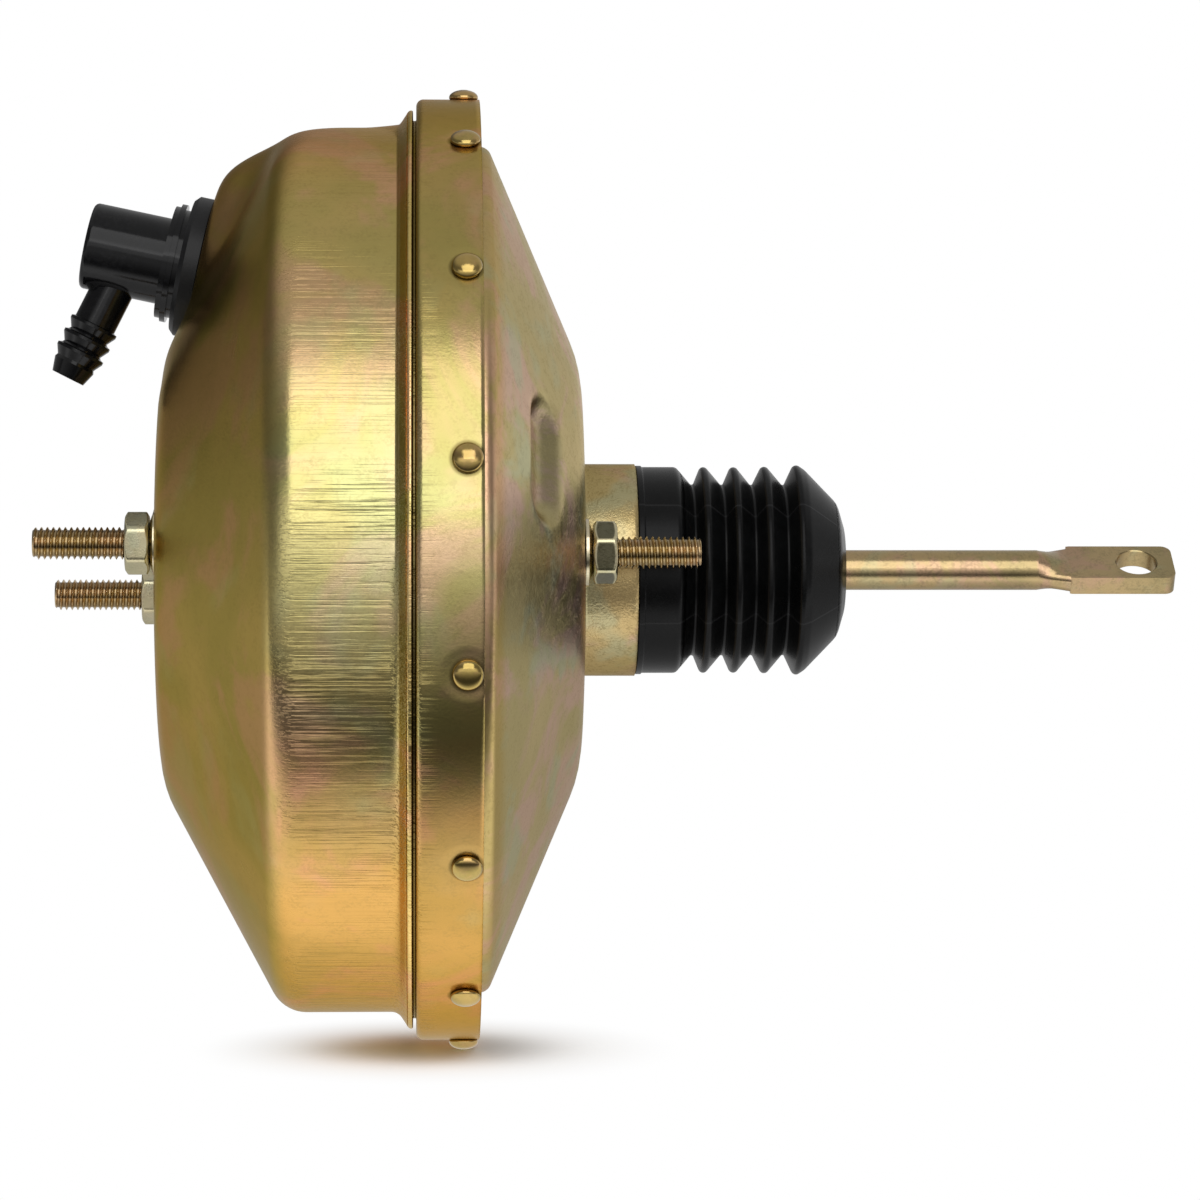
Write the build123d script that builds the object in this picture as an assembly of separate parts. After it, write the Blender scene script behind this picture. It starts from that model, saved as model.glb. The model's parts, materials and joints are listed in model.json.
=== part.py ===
from build123d import *
from math import atan, cos, degrees, radians, sin, tan
import os

# Vacuum brake booster, single diaphragm. All lengths are in millimetres.
# The booster's axis is X: the pedal side is +X, the master cylinder side is -X, and +Z is up.
# The origin is the centre of the rear face that seats on the firewall.
# Outlines are (x, radius) pairs that are turned about the X axis.

# Pressed shells
sheet = 1.8                  # wall of both shells
shell_depth = 130.0          # firewall face to master cylinder face
seat_land = 0.4              # height of the two machined-flat seating rings
drum_radius = 137.4          # outside of the front shell's straight wall
front_flat = 68.0            # radius where the front face would meet the front cone
front_slope = 1.85           # front cone: radius gained for each mm along the axis
front_face_round = 30.0
drum_round = 11.5
lip_flare = 4.7              # length of the flare from the drum to the lip
lip_height = 5.2             # how far the lip stands over the drum
lip_land = 2.2
flare_round = 2.0
lip_round = 1.2
groove_round = 0.4           # inside corner between the lip and the skirt
groove_depth = 1.3           # V groove between the lip and the skirt
skirt_step = 8.6             # skirt over drum
skirt_length = 19.4          # straight skirt that holds the rear shell
skirt_round = 1.6
pilot_radius = 19.0          # bore for the master cylinder's spigot
front_land_radius = 26.5

rear_flat = 63.3             # radius where the rear face would meet the rear cone
rear_slope = 2.35            # rear cone: radius gained for each mm towards the front
rear_rim_step = 14.4         # from the skirt in to the outside of the rear shell's rim
rear_rim_round = 4.0
rear_face_round = 42.0
rear_rim_depth = 10.4        # straight rim behind the clamped flange
clamp_round = 1.5            # rim to the clamped flange
hub_radius = 33.1            # outside of the drawn hub tube
hub_length = 16.6            # hub tube, beyond the firewall face
hub_root_round = 1.2
rear_land_radius = 38.8

# Oblong pockets stamped into the rear cone
pocket_count = 2
pocket_angle = 20.0          # first pocket, above the camera-side horizontal
pocket_from_rim = 38.6       # from the rear shell's rim in to the pocket's centre
pocket_length = 44.0         # around the axis
pocket_width = 25.0          # across the cone
pocket_depth = 5.0
pocket_draft = 50.0
pocket_slope_width = 7.0     # drafted border around the pocket's flat floor

# Rim rivets
rivet_count = 15
rivet_first_angle = 12.0
rivet_head_radius = 4.5
rivet_head_height = 3.0
rivet_side_height = 0.75
rivet_dome_radius = 3.6      # middle of the head's round edge
rivet_dome_height = 2.2
rivet_flat_radius = 1.4
rivet_shank_radius = 3.0
rivet_from_edge = 4.8        # skirt edge to rivet centre
rivet_reach = 9.0            # shank length inside the skirt

# Studs, nuts and washers
stud_radius = 4.8            # thread
shoulder_radius = 5.0        # plain part through the shells
stud_head_radius = 7.0
stud_head_height = 3.5
stud_chamfer = 1.0
nut_flats = 17.0
nut_height = 7.2
nut_clearance = 0.05         # between a nut's bore and the stud in it
washer_radius = 10.3
washer_height = 2.2
washer_edge = 0.9
washer_crown_radius = 6.4    # outside of the dome's flat top
cylinder_stud_circle = 85.7
cylinder_stud_roll = 10.4    # degrees above the horizontal on the near side
cylinder_stud_reach = 37.0   # beyond the master cylinder face
cylinder_nut_roll = 8.0
firewall_stud_circle = 100.0
firewall_stud_roll = 5.6
firewall_stud_reach = 34.5
firewall_nut_roll = -7.5
front_plate_wall = 3.0
front_plate_radius = 54.0
rear_plate_wall = 2.5
rear_plate_radius = 54.0
rear_plate_hub_gap = 1.0

# Clearances
fit_gap = 0.1                # pieces of one body that seat on each other
slide_gap = 0.06             # shafts that slide or turn in another piece
soft_gap = 0.3               # rubber, springs and felt beside a moving piece

# Front seal around the output rod
seal_length = 13.8
seal_radius = 22.0
seal_lip_length = 2.5
seal_cup_radius = 12.0       # room for the adjuster's hex in front of the lip
seal_retainer_wall = 1.4
seal_retainer_flange = 27.5
seal_retainer_gap = 2.0      # around the output rod

# Hub seal and bushing inside the hub tube
hub_stack_start = 2.6        # from the firewall face
hub_seal_length = 6.0
hub_bushing_length = 3.2
hub_retainer_wall = 1.4
hub_retainer_gap = 1.0       # around the valve body's neck
hub_seal_relief = 1.5        # gap around the neck in front of the lip
hub_seal_lip = 2.0
hub_seal_taper = 1.0

# Power piston
neck_radius = 22.0
neck_end = 58.0
neck_bore = 18.5
piston_front = 44.0          # firewall face to the front of the valve body
boss_radius = 24.0
boss_length = 14.0
head_radius = 30.0
flange_radius = 40.0
flange_length = 6.4
bead_groove_radius = 26.0
bead_groove_length = 5.8
bead_rib_length = 2.0
plate_rear = 14.0            # firewall face to the rear of the diaphragm plate
plate_wall = 1.5
plate_flat = 62.0
fold_width = 19.4            # diaphragm plate's rim to the outside of the drum
plate_lip = 18.0
plate_round = 20.0
diaphragm_wall = 2.0
fold_reach = 13.6            # rolling fold, in front of the rim bead
fold_run = 4.0               # from the fold's outer wall to the bead
fold_root_round = 5.0
fold_end_round = 2.0
plate_lip_round = 4.0
fold_flat = 3.0              # flat crest between the fold's two bends
rim_bead_width = 7.6
disc_pocket_radius = 14.5
disc_pocket_depth = 10.0
disc_length = 6.9
pin_radius = 7.0
counterbore_radius = 13.0
counterbore_floor = 0.5
valve_bore_floor = 6.0       # firewall face to the floor of the neck's bore
seat_inner = 14.4
seat_outer = 16.2
seat_height = 1.6
vacuum_port_count = 4
vacuum_port_radius = 1.0
vacuum_port_angle = 45.0
air_port_radius = 1.2
air_port_height = 1.6        # above the counterbore's floor
key_length = 2.5
key_width = 17.0
key_front = 4.5

# Output rod
output_rod_radius = 6.0
output_head_length = 2.8
output_cone_length = 3.0     # head to rod
output_cone_height = 1.5
output_rod_setback = 15.6    # from the master cylinder face in to the rod's end
adjuster_flats = 11.0
adjuster_hex_length = 3.8
adjuster_tip_radius = 5.0
adjuster_tip_length = 6.1
adjuster_dome = 2.0
retainer_wall = 1.2
retainer_skirt = 8.0
retainer_gap = 3.0           # around the output rod

# Air valve and input rod
valve_travel = 1.5
head_land_radius = 12.0
socket_radius = 8.0
socket_length = 19.8
groove_radius = 5.0
ball_centre = 21.0
ball_radius = 5.5
ball_clearance = 0.08
ball_mouth_radius = 5.0
mouth_depth = 2.0            # flare at the socket's open end
mouth_wall = 1.0
rod_neck_radius = 4.0
rod_radius = 6.25
rod_neck_end = 30.0
rod_cone_end = 34.0
collar_radius = 14.0
collar_front = 45.0
collar_length = 1.5
rod_shoulder = 143.0         # where the round rod starts to flatten
blade_start = 153.0
blade_thickness = 6.1
blade_width = 17.5
blade_roll = 35.0            # turn of the flat eye about the rod's axis
blade_corner = 3.2
blade_edge_round = 2.05
eye_radius = 6.35
eye_position = 174.4
eye_margin = 11.6            # from the eye's centre to the rod's end
eye_chamfer = 0.6

# Poppet valve group and filter
poppet_face_length = 2.0
poppet_face_radius = 17.0
poppet_face_step = 1.0       # face to the sleeve behind it
poppet_stand = 0.7           # seat to face with the pedal up
poppet_bore = 8.6
poppet_wall = 1.2
poppet_rear = 26.8
poppet_bead_length = 2.8
retainer_cup_length = 7.0
poppet_spring_radius = 12.2
poppet_spring_wire = 0.5
poppet_spring_turns = 4.0
return_spring_small_radius = 12.8
return_spring_small_wire = 0.65
return_spring_small_turns = 3.0
filter_start = 48.5
filter_length = 8.0
filter_bore = 10.5
filter_cap_length = 1.4
filter_cap_overhang = 1.0

# Main return spring
main_wire = 2.0
main_rear_radius = 34.0
main_front_radius = 30.2
main_turns = 5.5

# Dust boot
boot_wall = 1.3
boot_lip_radius = 32.6
boot_lip_length = 1.9
boot_collar_radius = 32.2
boot_collar_end = 29.5
boot_valley_radius = 26.0
boot_crest_radius = 33.4
boot_valleys = (34.8, 44.1, 53.3, 63.3)
boot_crest_steps = (3.0, 3.2, 3.7, 3.5)
boot_shoulder = (69.8, 31.4)
boot_nose = (79.9, 21.0)
boot_end = 82.0
boot_end_radius = 14.0
boot_collar_round = 1.5
boot_valley_round = 1.1
boot_crest_round = 0.9
boot_shoulder_round = 3.0
boot_nose_round = 5.0
boot_end_round = 1.2
boot_spigot_wall = 2.3       # inside the hub tube

# Check valve, on its pad of the front shell
pad_lean = 11.8              # the pad's outward normal above the booster's axis
pad_from_drum = 43.7         # from the drum's outside in to the valve's centre
pad_stand = 2.6              # valve's centre in front of the cone
pad_up = 34.0
pad_down = 26.0
pad_half_width = 30.0
pad_boss_draft = 28.0
pad_boss_length = 34.0       # drafted wall of the raised side, into the drum
pad_recess_draft = 35.0
roof_lean = 18.5             # flat run from the pad's top edge up to the drum
roof_from_drum = 9.9         # from the drum's outside in to the roof's front edge
roof_length = 50.0
roof_half_width = 40.0
roof_clear = 12.0            # height of the cut over the roof
grommet_radius = 22.0
grommet_length = 6.0
grommet_neck_radius = 11.0
grommet_inner_radius = 14.5
grommet_inner_length = 5.0
grommet_chamfer = 1.5
stem_radius = 9.0
stem_barb_radius = 10.2
stem_barb_length = 2.4
flange_base_radius = 17.0
valve_flange_radius = 17.6
valve_flange_length = 3.4
ring_radius = 18.6
ring_length = 1.8
drum_body_radius = 13.5
valve_height = 36.2
valve_edge_round = 1.6
stem_bore = 5.5
chamber_radius = 11.0
chamber_end = 33.6
disc_radius = 8.5
disc_wall = 1.8
check_spring_radius = 5.5
check_spring_wire = 0.45
check_spring_turns = 4.0
disc_pin_radius = 4.0        # guide inside the spring
disc_pin_height = 3.0
nipple_joint = 22.5          # along the valve's axis
nipple_lean = 75.0           # from the valve's outward axis
nipple_length = 43.2
nipple_radius = 6.65
nipple_bore = 3.5
nipple_tip_radius = 5.3
nipple_tip_length = 4.5
barb_radius = 7.75
barb_count = 3
barb_pitch = 4.6
barb_start = 24.5
barb_rise = 0.4
barb_crest = 1.3             # from the barb's foot to the end of its crest
barb_taper = 1.54
barb_gap = 0.6


def turned(*outline):
    return revolve(make_face(Polyline(*outline, close=True)), Axis.X)


def pressed(points, radii, wall, side):
    """Sheet of one thickness that follows a rounded outline."""
    path = FilletPolyline(*points, radius=radii)
    return revolve(make_face(offset(path, amount=wall, side=side)), Axis.X)


def filled(points, radii, wall, side):
    """Everything inside a pressing's outer face, or inside its inner face."""
    path = FilletPolyline(*points, radius=radii)
    if wall:
        path = offset(path, amount=wall, side=side, closed=False)
    first = path @ 0
    last = path @ 1
    corners = [last, Vector(last.X, 0), Vector(first.X, 0), first]
    if first.Y < fit_gap:
        corners.pop()
    return revolve(make_face(path.edges() + Polyline(*corners).edges()), Axis.X)


def rod(start, end, radius):
    return Pos(start) * Rot(Y=90) * extrude(Circle(radius), end - start)


def ring(start, end, inner, outer):
    return turned((start, inner), (start, outer), (end, outer), (end, inner))


def spring(start, end, start_radius, end_radius, wire, turns):
    """Coil spring between two x positions, measured over its wire."""
    rise = end - start - 2 * wire
    cone = degrees(atan((end_radius - start_radius) / rise))
    path = Helix(rise / turns, rise, start_radius, cone_angle=cone)
    profile = Plane(path @ 0, z_dir=path % 0) * Circle(wire)
    return Pos(start + wire) * Rot(Y=90) * sweep(profile, path, is_frenet=True)


def beside(angle, radius, x):
    """Place beside the axis: the angle is measured up from the -Y side."""
    return Pos(x, -radius * cos(radians(angle)), radius * sin(radians(angle)))


def around(part, count, first_angle):
    """Copies of a part made on the -Y side, evenly spaced about the axis."""
    return [Rot(X=-(first_angle + 360 / count * index)) * part for index in range(count)]


def pair(part, circle, roll):
    """A part made on the axis, set at both studs of a pattern."""
    return [beside(roll + turn, circle / 2, 0) * part for turn in (0, 180)]


def cylinder_side(part):
    return pair(part, cylinder_stud_circle, cylinder_stud_roll)


def firewall_side(part):
    return pair(part, firewall_stud_circle, firewall_stud_roll)


# Places along X
front_face = -shell_depth + seat_land
rear_face = -seat_land
skirt_radius = drum_radius + skirt_step
rear_rim_radius = skirt_radius - rear_rim_step
rear_corner = rear_face - (rear_rim_radius - rear_flat) / rear_slope
clamp_rear = rear_corner - rear_rim_depth
clamp_front = clamp_rear - sheet
rivet_x = clamp_rear + rivet_shank_radius + fit_gap
skirt_rear = rivet_x + rivet_from_edge
skirt_front = skirt_rear - skirt_length
lip_x = skirt_front - lip_land
lip_start = lip_x - lip_flare
drum_front = front_face + (drum_radius - front_flat) / front_slope
front_plate_front = front_face + sheet
front_plate_rear = front_plate_front + front_plate_wall
rear_plate_rear = rear_face - sheet
rear_plate_front = rear_plate_rear - rear_plate_wall
skirt_inner = skirt_radius - sheet
hub_inner = hub_radius - sheet

front_points = [
    (front_face, 0),
    (front_face, front_flat),
    (drum_front, drum_radius),
    (lip_start, drum_radius),
    (lip_x, drum_radius + lip_height),
    (skirt_front, drum_radius + lip_height),
    (skirt_front, skirt_radius),
    (skirt_rear, skirt_radius),
]
front_radii = [front_face_round, drum_round, flare_round, lip_round, groove_round, skirt_round]

rear_points = [
    (hub_length, hub_radius),
    (rear_face, hub_radius),
    (rear_face, rear_flat),
    (rear_corner, rear_rim_radius),
    (clamp_rear, rear_rim_radius),
    (clamp_rear, skirt_inner - fit_gap),
]
rear_radii = [hub_root_round, rear_face_round, rear_rim_round, clamp_round]

# Check valve pad
pad_normal = Vector(-cos(radians(pad_lean)), 0, sin(radians(pad_lean)))
pad_z = drum_radius - pad_from_drum
pad_x = front_face + (pad_z - front_flat) / front_slope - pad_stand
pad_plane = Plane((pad_x, 0, pad_z), x_dir=(0, 1, 0), z_dir=pad_normal)
roof_z = drum_radius - roof_from_drum
roof_x = pad_x + (roof_z - pad_z) * tan(radians(pad_lean))
roof_normal = (-sin(radians(roof_lean)), 0, cos(radians(roof_lean)))
roof_plane = Plane((roof_x, 0, roof_z), x_dir=(0, 1, 0), z_dir=roof_normal)


def pad_roof(low, high):
    """Flat layer over the pad and the drum's corner, between two heights from the roof."""
    blank = Pos(0, -roof_length / 2) * Rectangle(2 * roof_half_width, roof_length)
    return extrude(roof_plane.offset(low) * blank, high - low)


def pad_outline(margin):
    height = pad_up + pad_down + 2 * margin
    width = 2 * (pad_half_width + margin)
    blank = RectangleRounded(width, height, width / 2 - fit_gap)
    return Pos(0, (pad_down - pad_up) / 2) * blank


def pad_boss(wall):
    outline = pad_plane.offset(-wall) * pad_outline(-wall)
    return extrude(outline, -pad_boss_length, taper=-pad_boss_draft)


def pad_recess(wall):
    outline = pad_plane.offset(-wall) * pad_outline(wall)
    return extrude(outline, pad_up, taper=-pad_recess_draft)


def front_shell():
    outer = filled(front_points, front_radii, 0, Side.RIGHT)
    inner = filled(front_points, front_radii, sheet, Side.RIGHT)
    shell = pressed(front_points, front_radii, sheet, Side.RIGHT)
    shell += pad_recess(sheet) & outer
    shell += pad_boss(0) - inner
    shell += pad_roof(-sheet, 0) & outer
    shell -= pad_recess(0)
    shell -= pad_roof(0, roof_clear)
    shell -= pad_boss(sheet) & rod(front_face, front_face + drum_radius, drum_radius)
    shell += ring(-shell_depth, front_plate_front, pilot_radius, front_land_radius)
    shell -= rod(-shell_depth, 0, pilot_radius)
    groove = drum_radius + lip_height
    shell -= turned(
        (skirt_front - groove_depth, groove + fit_gap),
        (skirt_front - groove_depth / 2, groove - groove_depth),
        (skirt_front, groove + fit_gap),
    )
    for hole in cylinder_side(rod(-shell_depth, 0, shoulder_radius + fit_gap)):
        shell -= hole
    shell -= pad_plane * extrude(Circle(grommet_neck_radius + fit_gap), sheet * 2, both=True)
    drill = extrude(Circle(rivet_shank_radius + fit_gap), 2 * skirt_radius)
    for hole in around(beside(0, 0, rivet_x) * Rot(X=90) * drill, rivet_count, rivet_first_angle):
        shell -= hole
    return shell


def rear_shell():
    shell = pressed(rear_points, rear_radii, sheet, Side.LEFT)
    outer = filled(rear_points, rear_radii, 0, Side.LEFT)
    for pocket in around(rear_pocket(sheet), pocket_count, pocket_angle):
        shell += pocket & outer
    for pocket in around(rear_pocket(0), pocket_count, pocket_angle):
        shell -= pocket
    shell += ring(rear_face - fit_gap, 0, hub_radius - fit_gap, rear_land_radius)
    shell -= rod(-shell_depth, hub_length, hub_inner)
    for hole in firewall_side(rod(rear_plate_front, 0, shoulder_radius + fit_gap)):
        shell -= hole
    return shell


def rear_pocket(wall):
    """Drafted plug on the camera side: a pocket's space, or with a wall the sheet around it."""
    lean = atan(1 / rear_slope)
    pocket_centre = rear_rim_radius - pocket_from_rim
    on_cone = rear_face - (pocket_centre - rear_flat) / rear_slope
    normal = (cos(lean), -sin(lean), 0)
    cone = Plane((on_cone, -pocket_centre, 0), x_dir=(0, 0, 1), z_dir=normal)
    floor = cone.offset(-pocket_depth - wall)
    length = pocket_length - 2 * pocket_slope_width + 2 * wall
    width = pocket_width - 2 * pocket_slope_width + 2 * wall
    return extrude(floor * SlotOverall(length, width), 3 * pocket_depth, taper=-pocket_draft)


# Rivets, studs, nuts and washers
def rim_rivets():
    crown = skirt_radius + rivet_head_height
    outline = Polyline(
        (0, skirt_radius - rivet_reach),
        (rivet_shank_radius, skirt_radius - rivet_reach),
        (rivet_shank_radius, skirt_radius),
        (rivet_head_radius, skirt_radius),
        (rivet_head_radius, skirt_radius + rivet_side_height),
    )
    dome = ThreePointArc(
        outline @ 1,
        (rivet_dome_radius, skirt_radius + rivet_dome_height),
        (rivet_flat_radius, crown),
    )
    back = Polyline(dome @ 1, (0, crown), outline @ 0)
    face = make_face(outline.edges() + dome.edges() + back.edges())
    rivet = beside(0, 0, rivet_x) * Rot(Z=180) * revolve(face, Axis.Y)
    return around(rivet, rivet_count, rivet_first_angle)


def stud(head_seat, nut_end, tip, outward):
    """Headed stud on the axis: plain to the end of its nut, then the thread's radius."""
    end = tip - outward * stud_chamfer
    return turned(
        (head_seat - outward * stud_head_height, 0),
        (head_seat - outward * stud_head_height, stud_head_radius),
        (head_seat, stud_head_radius),
        (head_seat, shoulder_radius),
        (nut_end, shoulder_radius),
        (nut_end, stud_radius),
        (end, stud_radius),
        (tip, stud_radius - stud_chamfer),
        (tip, 0),
    )


def washer(seat, outward):
    """Domed washer, thin at its edge."""
    edge = seat + outward * washer_edge
    crown = seat + outward * washer_height
    inner = shoulder_radius + fit_gap
    return turned(
        (seat, inner),
        (seat, washer_radius),
        (edge, washer_radius),
        (crown, washer_crown_radius),
        (crown, inner),
    )


def nut(seat, outward, roll):
    corner = nut_flats / 2 / cos(radians(30))
    blank = extrude(RegularPolygon(corner, 6, major_radius=True), nut_height)
    inner = nut_flats / 2 - fit_gap
    rise = (corner - inner) * tan(radians(30))
    cone = turned(
        (0, 0),
        (0, inner),
        (rise, corner),
        (nut_height - rise, corner),
        (nut_height, inner),
        (nut_height, 0),
    )
    blank = Rot(Y=90) * Rot(Z=30) * blank & cone
    blank -= rod(0, nut_height, shoulder_radius + nut_clearance)
    return Pos(seat + (outward - 1) / 2 * nut_height) * Rot(X=roll) * blank


cylinder_nut_seat = front_face - washer_height - fit_gap
cylinder_nut_end = cylinder_nut_seat - nut_height - fit_gap
firewall_nut_seat = rear_face + washer_height + fit_gap
firewall_nut_end = firewall_nut_seat + nut_height + fit_gap


# Plates and seals of the housing
def front_plate():
    plate = ring(front_plate_front + fit_gap, front_plate_rear, pilot_radius, front_plate_radius)
    for hole in cylinder_side(rod(-shell_depth, 0, shoulder_radius + fit_gap)):
        plate -= hole
    return plate


def rear_plate():
    inner = hub_radius + rear_plate_hub_gap
    plate = ring(rear_plate_front, rear_plate_rear - fit_gap, inner, rear_plate_radius)
    for hole in firewall_side(rod(-shell_depth, 0, shoulder_radius + fit_gap)):
        plate -= hole
    return plate


seal_front = front_plate_rear + fit_gap
seal_rear = seal_front + seal_length


def front_seal():
    lip = output_rod_radius + soft_gap
    return turned(
        (seal_front, seal_cup_radius),
        (seal_front, seal_radius),
        (seal_rear, seal_radius),
        (seal_rear, lip),
        (seal_rear - seal_lip_length, lip),
        (seal_rear - 2 * seal_lip_length, seal_cup_radius),
    )


def front_seal_retainer():
    cup = seal_radius + fit_gap
    bottom = seal_rear + fit_gap
    return turned(
        (seal_front, cup),
        (seal_front, seal_retainer_flange),
        (seal_front + seal_retainer_wall, seal_retainer_flange),
        (seal_front + seal_retainer_wall, cup + seal_retainer_wall),
        (bottom + seal_retainer_wall, cup + seal_retainer_wall),
        (bottom + seal_retainer_wall, output_rod_radius + seal_retainer_gap),
        (bottom, output_rod_radius + seal_retainer_gap),
        (bottom, cup),
    )


hub_fit = hub_inner - fit_gap
hub_seal_start = hub_stack_start + hub_retainer_wall + fit_gap
bushing_start = hub_seal_start + hub_seal_length + fit_gap
spigot_start = bushing_start + hub_bushing_length + fit_gap


def hub_seal():
    end = hub_seal_start + hub_seal_length
    return turned(
        (hub_seal_start, neck_radius + hub_seal_relief),
        (hub_seal_start, hub_fit),
        (end, hub_fit),
        (end, neck_radius + soft_gap),
        (end - hub_seal_lip, neck_radius + soft_gap),
        (end - hub_seal_lip - hub_seal_taper, neck_radius + hub_seal_relief),
    )


def hub_bushing():
    return ring(bushing_start, bushing_start + hub_bushing_length, neck_radius + slide_gap, hub_fit)


def hub_seal_retainer():
    inner = neck_radius + hub_retainer_gap
    return ring(hub_stack_start, hub_stack_start + hub_retainer_wall, inner, hub_fit)


# Power piston
plate_rim_radius = drum_radius - fold_width
plate_corner = -plate_rear - (plate_rim_radius - plate_flat) / rear_slope


def diaphragm_plate():
    points = [
        (-plate_rear, head_radius),
        (-plate_rear, plate_flat),
        (plate_corner, plate_rim_radius),
        (plate_corner - plate_lip, plate_rim_radius),
    ]
    return pressed(points, [plate_round, plate_lip_round], plate_wall, Side.LEFT)


def diaphragm():
    half = diaphragm_wall / 2
    back = -plate_rear + soft_gap + half
    lip_radius = plate_rim_radius + soft_gap + half
    wall_radius = drum_radius - sheet - soft_gap - half
    fold = (wall_radius - lip_radius - fold_flat) / 2
    bead_rear = clamp_front - fit_gap
    bead_front = bead_rear - rim_bead_width
    bead_outer = skirt_inner - fit_gap
    fold_front = bead_front - fold_reach + half
    points = [
        (back, bead_groove_radius + diaphragm_wall),
        (back, plate_flat),
        (plate_corner + half, lip_radius),
        (fold_front, lip_radius),
        (fold_front, wall_radius),
        (bead_front - fold_run, wall_radius),
        (bead_front + diaphragm_wall, bead_outer - rim_bead_width + half),
    ]
    path = FilletPolyline(*points, radius=[plate_round, fold_root_round, fold, fold, fold_end_round])
    sheet_face = make_face(offset(path, amount=half, side=Side.BOTH))
    shape = revolve(sheet_face, Axis.X)
    shape += ring(bead_front, bead_rear, bead_outer - rim_bead_width, bead_outer)
    groove_rear = -plate_rear + bead_groove_length - soft_gap
    groove_front = -plate_rear + soft_gap
    shape += ring(groove_front, groove_rear, bead_groove_radius + soft_gap, head_radius - soft_gap)
    return shape


def valve_body():
    front = -piston_front
    boss_end = front + boss_length
    flange_front = -plate_rear - plate_wall - flange_length - fit_gap
    flange_rear = -plate_rear - plate_wall - fit_gap
    groove_end = -plate_rear + bead_groove_length
    disc_floor = front + disc_pocket_depth
    spigot = head_radius - fit_gap
    body = turned(
        (front, disc_pocket_radius),
        (front, boss_radius),
        (boss_end, boss_radius),
        (boss_end, head_radius),
        (flange_front, head_radius),
        (flange_front, flange_radius),
        (flange_rear, flange_radius),
        (flange_rear, spigot),
        (-plate_rear, spigot),
        (-plate_rear, bead_groove_radius),
        (groove_end, bead_groove_radius),
        (groove_end, spigot),
        (groove_end + bead_rib_length, spigot),
        (groove_end + bead_rib_length, neck_radius),
        (neck_end, neck_radius),
        (neck_end, neck_bore),
        (valve_bore_floor, neck_bore),
        (valve_bore_floor, seat_outer),
        (valve_bore_floor + seat_height, seat_outer),
        (valve_bore_floor + seat_height, seat_inner),
        (valve_bore_floor, seat_inner),
        (valve_bore_floor, counterbore_radius),
        (counterbore_floor, counterbore_radius),
        (counterbore_floor, pin_radius + slide_gap),
        (disc_floor, pin_radius + slide_gap),
        (disc_floor, disc_pocket_radius),
    )
    vacuum_port = beside(0, (seat_outer + neck_bore) / 2, 0) * rod(front, neck_end, vacuum_port_radius)
    air_port = Rot(X=90) * extrude(Circle(air_port_radius), head_radius)
    air_port = Pos(counterbore_floor + air_port_height) * air_port
    ports = around(vacuum_port, vacuum_port_count, vacuum_port_angle)
    ports += around(air_port, vacuum_port_count, 0)
    for port in ports:
        body -= port
    slot = Box(key_length + 2 * soft_gap, 2 * head_radius, key_width + 2 * fit_gap)
    return body - Pos(key_length / 2 - key_front) * slot


def plunger_key():
    """Flat fork that limits the air valve's travel in the valve body."""
    reach = neck_radius - fit_gap
    blade = Box(key_length, 2 * reach, key_width)
    blade &= Rot(Y=90) * extrude(Circle(reach), key_length, both=True)
    gap = groove_radius + soft_gap
    blade -= Rot(Y=90) * extrude(Circle(gap), key_length, both=True)
    blade -= Pos(0, -reach) * Box(key_length, 2 * reach, 2 * gap)
    return Pos(key_length / 2 - key_front) * blade


disc_rear = disc_pocket_depth - piston_front - fit_gap
disc_front = disc_rear - disc_length
head_rear = disc_front - fit_gap
head_front = head_rear - output_head_length
output_rod_front = output_rod_setback - shell_depth
hex_front = output_rod_front - adjuster_hex_length


def output_rod():
    return turned(
        (head_rear, 0),
        (head_rear, disc_pocket_radius - fit_gap),
        (head_front, disc_pocket_radius - fit_gap),
        (head_front, output_rod_radius + output_cone_height),
        (head_front - output_cone_length, output_rod_radius),
        (output_rod_front + fit_gap, output_rod_radius),
        (output_rod_front + fit_gap, 0),
    )


def output_rod_adjuster():
    """Hex screw with a domed tip that presses on the master cylinder's piston."""
    corner = adjuster_flats / 2 / cos(radians(30))
    screw = Pos(hex_front) * Rot(Y=90) * extrude(RegularPolygon(corner, 6), adjuster_hex_length)
    tip = rod(hex_front - adjuster_tip_length, hex_front + fit_gap, adjuster_tip_radius)
    rim = tip.edges().filter_by(GeomType.CIRCLE).sort_by(Axis.X)[0]
    return screw + fillet(rim, adjuster_dome)


def output_rod_retainer():
    cap = boss_radius + fit_gap
    cap_rear = -piston_front - fit_gap
    return turned(
        (cap_rear, output_rod_radius + retainer_gap),
        (cap_rear, cap),
        (cap_rear + retainer_skirt, cap),
        (cap_rear + retainer_skirt, cap + retainer_wall),
        (cap_rear - retainer_wall, cap + retainer_wall),
        (cap_rear - retainer_wall, output_rod_radius + retainer_gap),
    )


# Air valve, input rod and poppet group
plunger_head_front = counterbore_floor + valve_travel + soft_gap
poppet_face = valve_bore_floor + seat_height + poppet_stand
socket_start = poppet_face - fit_gap
socket_end = socket_start + socket_length


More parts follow.
